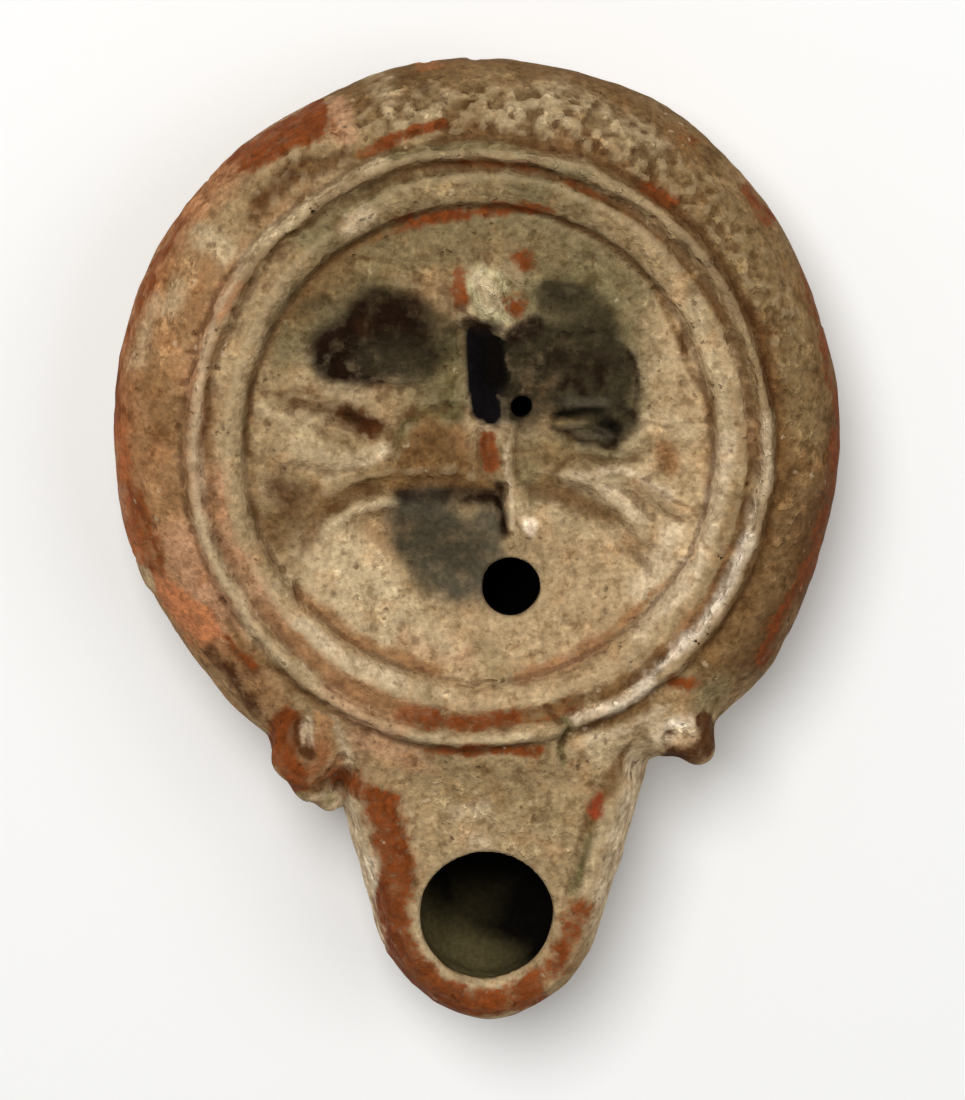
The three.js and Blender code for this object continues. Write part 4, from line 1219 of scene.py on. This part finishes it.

# Slip and reddened clay, with broken edges; painted shade lies in the right rim's slip and on the
# skirt
STAINS_AND_SHADE = {
    "upper left slip": (SLIP, [(250, 156), (285, 136), (316, 120)], 17, 8, 1.0),
    "upper left slip edge": (SLIP, [(280, 128), (320, 108)], 9, 3, 1.0),
    "upper left streak": (SLIP, [(362, 152), (400, 138), (436, 125)], 7, 4, 1.0),
    "upper left trail": (BROWN, [(296, 172), (362, 152)], 5, 4, 0.7),
    "left rim upper": (SLIP, [(184, 221), (147, 280), (119, 350), (114, 430)], 6, 6, 0.75),
    "left rim": (ORANGE, [(118, 430), (124, 500), (140, 560)], 7, 5, 0.8),
    "left rim flakes": (SLIP, [(130, 490), (146, 530), (160, 570)], 10, 8, 0.7),
    "chip": (EMBER, [(166, 588), (192, 616), (206, 634)], 13, 7, 1.0),
    "lower left streak": (UMBER, [(212, 652), (236, 684), (258, 712)], 6, 6, 0.85),
    "lower left red": (SLIP, [(226, 640), (250, 668)], 6, 5, 0.7),
    "groove top": (SLIP, [(455, 162), (537, 167)], 4, 3, 0.7),
    "groove top right": (SLIP, [(570, 180), (610, 200)], 4, 3, 0.8),
    "groove lower left": (CLAY, [(290, 640), (330, 676), (381, 703), (410, 712)], 9, 6, 0.9),
    "groove lower": (
        SLIP, [(404, 714), (440, 721), (490, 723), (540, 716), (570, 707)], 9, 8, 0.95,
    ),
    "groove lower right": (BROWN, [(530, 717), (584, 700), (634, 678), (668, 648)], 7, 5, 0.85),
    "groove right low": (CLAY, [(668, 648), (706, 600), (730, 550)], 5, 4, 0.7),
    "ring foot": (SLIP, [(470, 751), (505, 753), (540, 749)], 6, 4, 0.9),
    "disc edge": (SLIP, [(400, 226), (440, 216), (500, 210), (550, 212)], 7, 6, 0.9),
    "disc edge left": (BROWN, [(340, 260), (368, 241), (400, 226)], 6, 4, 0.75),
    "disc edge lower right": (CLAY, [(516, 674), (560, 660), (600, 642), (634, 618)], 5, 5, 0.8),
    "disc edge right": (CLAY, [(630, 620), (664, 582)], 4, 3, 0.7),
    "hair": (SLIP, [(460, 274), (459, 298)], 7, 5, 0.95),
    "hair low": (UMBER, [(459, 302), (467, 320)], 5, 4, 0.8),
    "veil": (SLIP, [(521, 257), (526, 264)], 8, 6, 0.8),
    "cheek": (SLIP, [(510, 304), (518, 308)], 9, 6, 0.8),
    "skirt": (SLIP, [(488, 436), (496, 466)], 10, 6, 1.0),
    "left eye": (UMBER, [(350, 416), (362, 423), (374, 430)], 12, 7, 1.0),
    "left volute": (SLIP, [(284, 718), (281, 756), (296, 778)], 12, 6, 1.0),
    "left volute top": (CLAY, [(314, 716), (326, 728)], 7, 5, 0.8),
    "volute to rim": (SLIP, [(340, 776), (362, 790), (384, 812)], 13, 9, 0.95),
    "nozzle rim left": (SLIP, [(382, 812), (393, 860), (390, 910), (401, 952)], 17, 9, 1.0),
    "nozzle tip": (SLIP, [(406, 957), (437, 990), (487, 1002), (531, 994)], 16, 9, 1.0),
    "nozzle rim right": (SLIP, [(531, 992), (558, 966), (572, 930), (578, 906)], 12, 10, 0.85),
    "right rim patch": (RED, [(598, 796), (593, 812)], 7, 6, 0.85),
    "right volute side": (UMBER, [(707, 722), (706, 744), (694, 756)], 9, 4, 0.95),
    "right volute low": (UMBER, [(694, 758), (676, 757), (662, 747)], 6, 4, 0.9),
    "right shoulder spot": (SLIP, [(678, 680), (690, 686)], 7, 7, 0.8),
    "upper right spot": (SLIP, [(650, 190), (672, 202)], 8, 5, 0.8),
    "upper right edge": (SLIP, [(680, 130), (692, 140)], 5, 5, 0.6),
    "right upper rim": (SLIP, [(748, 190), (770, 222)], 6, 4, 0.8),
    # Slip on the right rim, with painted shade along the outline laid in it, this stroke and the
    # next
    "right rim upper": (SLIP, [(800, 270), (822, 330), (834, 400)], 5, 4, 0.7),
    "right rim": (SLIP, [(838, 400), (836, 470), (812, 560), (760, 660)], 7, 6, 0.8),
    "top rim": (BROWN, [(340, 92), (400, 68), (480, 60), (560, 66), (640, 92)], 5, 4, 0.7),
    "top rim spot": (ORANGE, [(422, 66), (436, 68)], 6, 4, 0.5),
    "left volute dark": (UMBER, [(292, 724), (294, 744), (302, 750)], 5, 4, 0.8),
    "left volute pit": (UMBER, [(305, 750), (308, 752)], 6, 3, 1.0),
    "left eye core": (SLIP, [(366, 426), (374, 431)], 4, 4, 0.4),
    "ring foot left": (SLIP, [(420, 748), (478, 752)], 4, 4, 0.6),
    "disc edge low left": (CLAY, [(348, 632), (384, 652), (430, 672)], 6, 5, 0.8),
    "left rim pale": (PINK, [(118, 490), (122, 520)], 5, 4, 0.6),
    # Painted shade on the skirt, in umber over the slip
    "skirt shade": (UMBER, [(486, 444), (492, 464)], 6, 6, 0.5),
}

# Soot and dark staining, soft and mottled at its edges, with painted shade beside the staff
SOOT_AND_SHADE_STROKES = {
    "left halo": (SOOT_GREY, [(346, 346), (386, 322), (420, 340)], 36, 16, 0.7),
    "left dark": (SOOT_AND_SHADE_BROWN, [(338, 356), (368, 330)], 27, 10, 1.0),
    "left dark low": (SOOT_AND_SHADE_BROWN, [(334, 366), (372, 370)], 19, 8, 0.95),
    "left red core": (UMBER, [(366, 326), (388, 312)], 10, 8, 0.5),
    "left grey": (ASH, [(398, 372), (418, 362)], 9, 9, 0.5),
    "left blot": (SOOT_GREY, [(308, 306), (322, 304)], 7, 5, 0.6),
    "right block": (SOOT_GREY, [(552, 300), (580, 304), (596, 330)], 20, 9, 0.85),
    "right block low": (SOOT_GREY, [(548, 348), (596, 352), (612, 376)], 27, 10, 0.95),
    "right block core": (SOOT_AND_SHADE_BROWN, [(556, 354), (600, 370)], 14, 12, 0.6),
    "mask dark": (SOOT_GREY, [(562, 394), (606, 402), (612, 424)], 24, 9, 0.95),
    "mask core": (SOOT_AND_SHADE_BROWN, [(558, 388), (566, 377), (578, 380), (582, 392)], 4, 3, 0.9),
    "mask line": (SOOT_AND_SHADE_BLACK, [(560, 414), (588, 408), (602, 412)], 4, 4, 0.9),
    "mask line low": (SOOT_AND_SHADE_BROWN, [(556, 425), (576, 438), (602, 447), (618, 441)], 4, 4, 0.85),
    "mask side": (SOOT_AND_SHADE_BROWN, [(627, 352), (639, 376), (636, 404), (630, 424)], 3, 3, 0.8),
    "round air hole": (SOOT_GREY, [(516, 394), (526, 420), (540, 410)], 11, 8, 0.8),
    "torso": (INK, [(478, 332), (478, 372), (482, 408)], 12, 5, 1.0),
    "torso right": (SOOT_AND_SHADE_BLACK, [(492, 348), (500, 372)], 14, 6, 1.0),
    "chest": (SOOT_AND_SHADE_BROWN, [(468, 322), (498, 326)], 6, 5, 0.85),
    "lower dark": (SOOT_AND_SHADE_BROWN, [(400, 496), (450, 496), (500, 500)], 8, 6, 0.9),
    "lower dark edge": (SOOT_AND_SHADE_BROWN, [(402, 491), (430, 490)], 5, 5, 0.7),
    "lower grey": (ASH, [(424, 526), (446, 552), (462, 566)], 38, 14, 0.95),
    "lower grey right": (ASH, [(486, 524), (488, 556)], 16, 8, 0.9),
    "lower grey core": (SOOT_GREY, [(424, 530), (462, 552)], 24, 16, 0.6),
    # Painted shade beside the staff, in soot brown
    "staff shade": (SOOT_AND_SHADE_BROWN, [(502, 488), (504, 532)], 5, 3, 0.95),
    "torso low": (INK, [(484, 392), (492, 412)], 12, 7, 0.95),
    "torso side": (SOOT_GREY, [(518, 348), (532, 376), (520, 398)], 17, 6, 0.95),
    "hair dark": (SOOT_AND_SHADE_BROWN, [(512, 334), (534, 326)], 9, 4, 0.9),
    "right block corner": (SOOT_GREY, [(547, 292), (572, 292)], 9, 3, 0.8),
    "mask stem": (SOOT_AND_SHADE_BROWN, [(598, 366), (600, 384)], 4, 3, 0.8),
    "mask blob": (SOOT_AND_SHADE_BLACK, [(604, 426), (614, 430)], 6, 4, 0.9),
    "mask blob high": (SOOT_AND_SHADE_BLACK, [(622, 408), (626, 414)], 5, 4, 0.85),
    "left dark right": (SOOT_AND_SHADE_BROWN, [(396, 330), (414, 350)], 25, 12, 0.85),
    "left dark middle": (SOOT_GREY, [(376, 356), (410, 362)], 24, 12, 0.8),
    "left top": (SOOT_AND_SHADE_BROWN, [(374, 312), (408, 310)], 22, 10, 0.9),
    "mask ash": (ASH, [(566, 401), (606, 402)], 4, 4, 0.8),
    "mask ash low": (ASH, [(574, 429), (606, 438)], 4, 4, 0.8),
    "torso speck": (ASH, [(500, 386), (506, 398)], 4, 4, 0.8),
    "lower grey edge": (SOOT_GREY, [(400, 520), (406, 556), (430, 584)], 9, 9, 0.5),
    "torso black": (SOOT_AND_SHADE_BLACK, [(495, 350), (499, 380)], 12, 5, 1.0),
    "torso blue": (INK, [(503, 394), (512, 410)], 10, 6, 0.8),
    "lower dark line": (SOOT_AND_SHADE_BROWN, [(404, 494), (450, 496), (500, 498)], 6, 6, 0.65),
    "left eye": (SOOT_AND_SHADE_BROWN, [(350, 417), (368, 427)], 6, 6, 0.55),
    "torso low side": (SOOT_GREY, [(512, 392), (514, 414)], 9, 7, 0.9),
}


def warped(places, points):
    """Photo places shifted a little by noise, so that no painted edge runs true."""
    shift = [layered(points, (5.0, 4.2, seed), (2.6, 1.3, seed + 1)) for seed in (40, 44)]
    return places + np.stack(shift, -1)


def cover(places, path, width, feather):
    """How fully a stroke covers each place, from 0 to 1."""
    reach, _ = path_reach(places, path)
    return 1.0 - smoothstep(width - feather, width + feather, reach)


def painted(places, colour, strokes):
    """The colour with each stroke laid on it in turn."""
    for tone, path, width, feather, strength in strokes.values():
        share = strength * cover(places, path, width, feather)
        colour = lerp(colour, tone, share[:, None])
    return colour


def stained(places, strokes):
    """A layer of strokes: its colour, and how much of it covers each place."""
    colour = np.zeros((len(places), 3))
    weight = np.full(len(places), 1e-6)
    clear = np.ones(len(places))
    for tone, path, width, feather, strength in strokes.values():
        share = strength * cover(places, path, width, feather)
        kept = 1.0 - share
        colour = colour * kept[:, None] + share[:, None] * tone
        weight = weight * kept + share
        clear *= kept
    return colour / weight[:, None], 1.0 - clear


# The photo's strokes fade in between these heights, and the inside, sooty and painted near black as
# shade, between these depths
PAINT_HEIGHTS = (9.0, 13.5)
CAVITY_DEPTHS = (-0.7, -1.4)

# Sizes of the broad clouds of colour in the clay, and of the patches of slip low on the belly
CLOUD_SIZE = 16.0
TINGE_SIZE = 11.0
PATCH_SIZE = 12.0
CRUST_SIZE = 9.0

# In the wick hole the light starts at one photo pixel and is full this much further on
LIT_FROM = np.array([474.0, 900.0])
LIT_TOWARDS = np.array([-0.0095, 0.0125])
LIT_RADII = (11.0, 8.0)  # how far round the wick hole light gets in


def plain_clay(points):
    """The clay's colour away from every stroke, in broad cloudy areas."""
    cloud = rough_noise(points, CLOUD_SIZE, 50)[:, None]
    tinge = rough_noise(points, TINGE_SIZE, 54)[:, None]
    colour = lerp(SAND, CREAM, smoothstep(-0.3, 0.9, cloud))
    colour = lerp(colour, CLAY, 0.8 * smoothstep(0.0, 0.9, tinge))
    return lerp(colour, KHAKI, 0.8 * smoothstep(0.1, 0.9, -tinge))


def inside_colour(points):
    """The inside, sooty and painted near black as shade; paler where the wick hole lets light fall
    on its lower left, which is painted light.
    """
    x, y = WICK_HOLE["at"]
    near_wick = smoothstep(*LIT_RADII, np.hypot(points[:, 0] - x, points[:, 1] - y))
    across = (photo_place(points) - LIT_FROM) @ LIT_TOWARDS
    lit = near_wick * smoothstep(0.0, 1.0, across + 0.15 * noise(points, 2.5, 66))
    return lerp(SOOT_AND_SHADE_BLACK, MOSS, lit[:, None])


def paint_layers(points):
    """Colour and amount of each layer at each vertex: ground, stain, and soot with painted shade.
    """
    places = warped(photo_place(points), points)
    above = smoothstep(*PAINT_HEIGHTS, points[:, 2])
    cavity = smoothstep(*CAVITY_DEPTHS, outer_shape(points))

    plain = plain_clay(points)
    ground = painted(places, painted(places, plain, TONES), DETAILS)
    ground = lerp(plain, ground, above[:, None])
    on_crust = smoothstep(0.0, 1.0, cover(places, *CRUSTS["top"]))
    gaps = on_crust * (1.0 - crust_lumps(points))
    ground = lerp(ground, ground * DARKER, gaps[:, None])
    crust = 0.25 + 0.35 * smoothstep(-0.2, 0.8, rough_noise(points, CRUST_SIZE, 58))
    for path, width, feather in CRUSTS.values():
        crust = np.maximum(crust, above * cover(places, path, width, feather))

    stain, stain_share = stained(places, STAINS_AND_SHADE)
    patches = smoothstep(0.2, 0.7, rough_noise(points, PATCH_SIZE, 62))
    stain = lerp(lerp(SLIP, ORANGE, 0.5), stain, above[:, None])
    stain_share = lerp(0.85 * patches, stain_share, above)

    soot_and_shade, soot_and_shade_share = stained(places, SOOT_AND_SHADE_STROKES)
    # Painted shade: the inside is laid over with near-black soot, paler where painted light falls
    soot_and_shade = lerp(soot_and_shade, inside_colour(points), cavity[:, None])
    black = smoothstep(0.006, 0.004, soot_and_shade.mean(1))
    soot_and_shade_share = soot_and_shade_share * (1.0 + 0.3 * black)
    soot_and_shade_share = np.maximum(soot_and_shade_share * above, 2.0 * cavity)
    outside = 1.0 - cavity
    return {
        "ground": np.c_[ground, crust * outside],
        "stain": np.c_[stain, stain_share * outside],
        "soot_and_shade": np.c_[soot_and_shade, soot_and_shade_share],
    }


def set_attribute(mesh, name, kind, values):
    field = "color" if kind == "FLOAT_COLOR" else "value"
    attribute = mesh.attributes.new(name, kind, "POINT")
    attribute.data.foreach_set(field, values.astype(np.float32).ravel())


# Material


class Nodes:
    """Adds nodes to a material, and lets a formula be written as calls."""

    def __init__(self, material):
        self.tree = material.node_tree
        self.tree.nodes.clear()

    def add(self, kind, **settings):
        node = self.tree.nodes.new(kind)
        for name, value in settings.items():
            setattr(node, name, value)
        return node

    def join(self, value, socket):
        if isinstance(value, bpy.types.NodeSocket):
            self.tree.links.new(value, socket)
        else:
            socket.default_value = value

    def math(self, operation, *values, clamp=False):
        node = self.add("ShaderNodeMath", operation=operation, use_clamp=clamp)
        for value, socket in zip(values, node.inputs):
            self.join(value, socket)
        return node.outputs[0]

    def ramp(self, value, low, high, to_low=0.0, to_high=1.0):
        node = self.add("ShaderNodeMapRange", interpolation_type="SMOOTHSTEP")
        for given, socket in zip((value, low, high, to_low, to_high), node.inputs):
            self.join(given, socket)
        return node.outputs[0]

    def mix(self, share, a, b, blend="MIX"):
        node = self.add("ShaderNodeMix", data_type="RGBA", blend_type=blend)
        self.join(share, node.inputs[0])
        self.join(a, node.inputs[6])
        self.join(b, node.inputs[7])
        return node.outputs[2]

    def noise(self, place, size_mm, detail, roughness):
        node = self.add("ShaderNodeTexNoise")
        self.join(place, node.inputs["Vector"])
        node.inputs["Scale"].default_value = 1.0 / (size_mm * MM)
        node.inputs["Detail"].default_value = detail
        node.inputs["Roughness"].default_value = roughness
        return node.outputs["Fac"]

    def pits(self, place, size_mm):
        node = self.add("ShaderNodeTexVoronoi")
        self.join(place, node.inputs["Vector"])
        node.inputs["Scale"].default_value = 1.0 / (size_mm * MM)
        return node.outputs["Distance"]

    def attribute(self, name):
        return self.add("ShaderNodeAttribute", attribute_name=name)


def colour_of(tone):
    return (*tone, 1.0)


# Noise in the clay: the size of its lumps in millimetres, its detail and its roughness
CLAY_NOISES = {
    "grain": (0.6, 3.0, 0.6),
    "mottle": (2.0, 4.0, 0.6),
    "blotch": (6.0, 3.0, 0.6),
    "crust": (1.5, 4.0, 0.62),
    "speckle": (1.1, 4.0, 0.65),
    "redness": (3.1, 4.0, 0.6),
    "fleck": (1.7, 4.0, 0.65),
    "pitted": (5.0, 2.0, 0.5),
}

# What each noise does to the ground: where it starts and is full, how strong it is, its factor
MOTTLING = {
    "mottle": (0.48, 0.7, 0.8, DARKER),
    "speckle": (0.54, 0.64, 0.6, DARKER),
    "redness": (0.5, 0.68, 0.5, REDDER),
    "blotch": (0.48, 0.68, 0.4, PALER),
    "fleck": (0.52, 0.66, 0.4, PALER),
}

# Ragged pits and pale grains: how far apart they lie, and how far their edges stray
PIT_SPACING = 1.4
GRAIN_SPACING = 2.3
STRAY_SIZE = 0.6
STRAY = 1.1

BUMP_HEIGHT = 0.42
BUMP_STRENGTH = 0.8
SHEEN = 0.16
SPECULAR = 0.05


def tinted(make, share, colour, factor):
    """The colour, changed by a factor on its red, green and blue as far as the share goes."""
    changed = make.mix(1.0, colour, colour_of(factor), "MULTIPLY")
    return make.mix(share, colour, changed)


def mottled(make, colour, noises, crusty):
    """The ground, mottled paler, darker and redder in turn."""
    for name, (low, high, strength, factor) in MOTTLING.items():
        share = make.ramp(noises[name], low, high, 0.0, strength)
        colour = tinted(make, share, colour, factor)
    return tinted(make, crusty, colour, PALER)


def slip_cover(make, noises, amount):
    """How far slip covers the ground, with broken edges."""
    broken = make.math("ADD", amount, make.ramp(noises["grain"], 0.25, 0.75, -0.2, 0.2))
    broken = make.math("ADD", broken, make.ramp(noises["mottle"], 0.3, 0.7, -0.32, 0.2))
    return make.ramp(broken, 0.05, 0.95)


def weathered(make, colour, hollow, slipped):
    """The colour with dirt settled in the hollows, and with edges worn pale."""
    dirty = make.ramp(hollow, 0.02, 0.13, 0.0, 0.55)
    colour = make.mix(dirty, colour, colour_of(UMBER))
    worn = make.ramp(make.math("MULTIPLY", hollow, -1.0), 0.02, 0.12, 0.0, 0.3)
    worn = make.math("MULTIPLY", worn, make.ramp(slipped, 0.0, 1.0, 1.0, 0.3))
    return make.mix(worn, colour, colour_of(CREAM))


def strayed(make, place):
    """The place shifted by noise, so that round spots turn ragged."""
    ragged = make.add("ShaderNodeTexNoise")
    ragged.inputs["Scale"].default_value = 1.0 / (STRAY_SIZE * MM)
    make.join(place, ragged.inputs["Vector"])
    warp = make.add("ShaderNodeVectorMath", operation="MULTIPLY_ADD")
    make.join(ragged.outputs["Color"], warp.inputs[0])
    warp.inputs[1].default_value = (STRAY * MM,) * 3
    make.join(place, warp.inputs[2])
    return warp.outputs[0]


def clay_height(make, noises, crusty, pits):
    """Relief finer than the mesh."""
    height = make.math("MULTIPLY", noises["grain"], 0.5)
    height = make.math("ADD", height, make.math("MULTIPLY", crusty, 0.5))
    height = make.math("ADD", height, make.math("MULTIPLY", noises["mottle"], 0.6))
    height = make.math("SUBTRACT", height, make.math("MULTIPLY", pits, 0.5))
    bump = make.add("ShaderNodeBump")
    bump.inputs["Strength"].default_value = BUMP_STRENGTH
    bump.inputs["Distance"].default_value = BUMP_HEIGHT * MM
    make.join(height, bump.inputs["Height"])
    return bump.outputs["Normal"]


def clay_material():
    material = bpy.data.materials.new("fired_clay")
    material.use_nodes = True
    make = Nodes(material)
    place = make.add("ShaderNodeTexCoord").outputs["Object"]
    ground, stain, soot_and_shade = (make.attribute(name) for name in ("ground", "stain", "soot_and_shade"))
    hollow = make.attribute("hollow").outputs["Fac"]
    noises = {name: make.noise(place, *kind) for name, kind in CLAY_NOISES.items()}

    fine = make.ramp(noises["grain"], 0.25, 0.75, 0.76, 1.26)
    crusty = make.ramp(noises["crust"], 0.5, 0.62)
    crusty = make.math("MULTIPLY", ground.outputs["Alpha"], crusty)
    colour = make.mix(1.0, ground.outputs["Color"], fine, "MULTIPLY")
    colour = mottled(make, colour, noises, crusty)

    slipped = slip_cover(make, noises, stain.outputs["Alpha"])
    slip = make.mix(1.0, stain.outputs["Color"], fine, "MULTIPLY")
    slip = make.mix(1.0, slip, make.ramp(noises["crust"], 0.3, 0.7, 1.25, 0.8), "MULTIPLY")
    colour = make.mix(slipped, colour, slip)
    colour = weathered(make, colour, hollow, slipped)

    spots = strayed(make, place)
    pits = make.ramp(make.pits(spots, PIT_SPACING), 0.06, 0.24, 1.0, 0.0)
    pits = make.math("MULTIPLY", pits, make.ramp(noises["pitted"], 0.5, 0.62))
    colour = make.mix(make.math("MULTIPLY", pits, 0.6), colour, colour_of(UMBER))
    grains = make.ramp(make.pits(spots, GRAIN_SPACING), 0.07, 0.16, 1.0, 0.0)
    grains = make.math("MULTIPLY", grains, make.ramp(noises["blotch"], 0.46, 0.6))
    colour = make.mix(make.math("MULTIPLY", grains, 0.5), colour, colour_of(PALE))

    # Soot, with painted shade: the near-black inside and the shade beside the staff
    thin = make.ramp(noises["mottle"], 0.25, 0.6, 0.82, 1.06)
    soot_and_shade_cover = make.math("MULTIPLY", soot_and_shade.outputs["Alpha"], thin, clamp=True)
    soot_and_shade_colour = make.mix(1.0, soot_and_shade.outputs["Color"], fine, "MULTIPLY")
    colour = make.mix(soot_and_shade_cover, colour, soot_and_shade_colour)

    sheen = make.math("MULTIPLY", slipped, SHEEN)
    rough = make.ramp(noises["mottle"], 0.3, 0.7, 0.84, 0.94)
    shader = make.add("ShaderNodeBsdfPrincipled")
    make.join(colour, shader.inputs["Base Color"])
    make.join(make.math("SUBTRACT", rough, sheen), shader.inputs["Roughness"])
    make.join(clay_height(make, noises, crusty, pits), shader.inputs["Normal"])
    shader.inputs["Specular IOR Level"].default_value = SPECULAR
    output = make.add("ShaderNodeOutputMaterial")
    make.join(shader.outputs["BSDF"], output.inputs["Surface"])
    return material


def add_lamp():
    piece = bpy.data.objects.new("clay_lamp", lamp_mesh())
    bpy.context.scene.collection.objects.link(piece)
    thin_inside(piece)
    mesh = piece.data
    mesh.name = "clay_lamp"
    for name, values in paint_layers(mesh_points(mesh)).items():
        set_attribute(mesh, name, "FLOAT_COLOR", values)
    set_attribute(mesh, "hollow", "FLOAT", hollowness(mesh, HOLLOW_PASSES))
    mesh.materials.append(clay_material())
    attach(piece, "root")
    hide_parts("lamp")


# Floor and light


FLOOR_HALF = 3.0
FLOOR_COLOUR = (0.96, 0.96, 0.95, 1.0)
SKY_COLOUR = (1.0, 0.99, 0.97, 1.0)
SKY_STRENGTH = 0.25
SOFT_LIGHTS = {
    "key": {"place": (-0.2, 0.35, 0.9), "size": 0.5, "power": 7.0},
    "fill": {"place": (0.5, 0.1, 0.8), "size": 0.6, "power": 1.6},
}


def add_floor():
    mesh = bpy.data.meshes.new("floor")
    half = FLOOR_HALF
    corners = [(-half, -half, 0), (half, -half, 0), (half, half, 0), (-half, half, 0)]
    mesh.from_pydata(corners, [], [(0, 1, 2, 3)])
    material = bpy.data.materials.new("pale_floor")
    material.use_nodes = True
    shader = material.node_tree.nodes["Principled BSDF"]
    shader.inputs["Base Color"].default_value = FLOOR_COLOUR
    shader.inputs["Roughness"].default_value = 0.9
    mesh.materials.append(material)
    floor = bpy.data.objects.new("floor", mesh)
    bpy.context.scene.collection.objects.link(floor)


def add_soft_light(name, place, size, power):
    data = bpy.data.lights.new(name, "AREA")
    data.shape = "DISK"
    data.size = size
    data.energy = power
    light = bpy.data.objects.new(name, data)
    light.location = place
    aim = Vector(CAMERA_TARGET * MM) - Vector(place)
    light.rotation_euler = aim.to_track_quat("-Z", "Y").to_euler()
    bpy.context.scene.collection.objects.link(light)


def add_world():
    world = bpy.data.worlds.new("studio")
    world.use_nodes = True
    background = world.node_tree.nodes["Background"]
    background.inputs["Color"].default_value = SKY_COLOUR
    background.inputs["Strength"].default_value = SKY_STRENGTH
    bpy.context.scene.world = world


add_lamp()
add_camera()
add_floor()
add_world()
for light_name, light in SOFT_LIGHTS.items():
    add_soft_light(light_name, light["place"], light["size"], light["power"])
bpy.context.scene.view_settings.view_transform = "Standard"
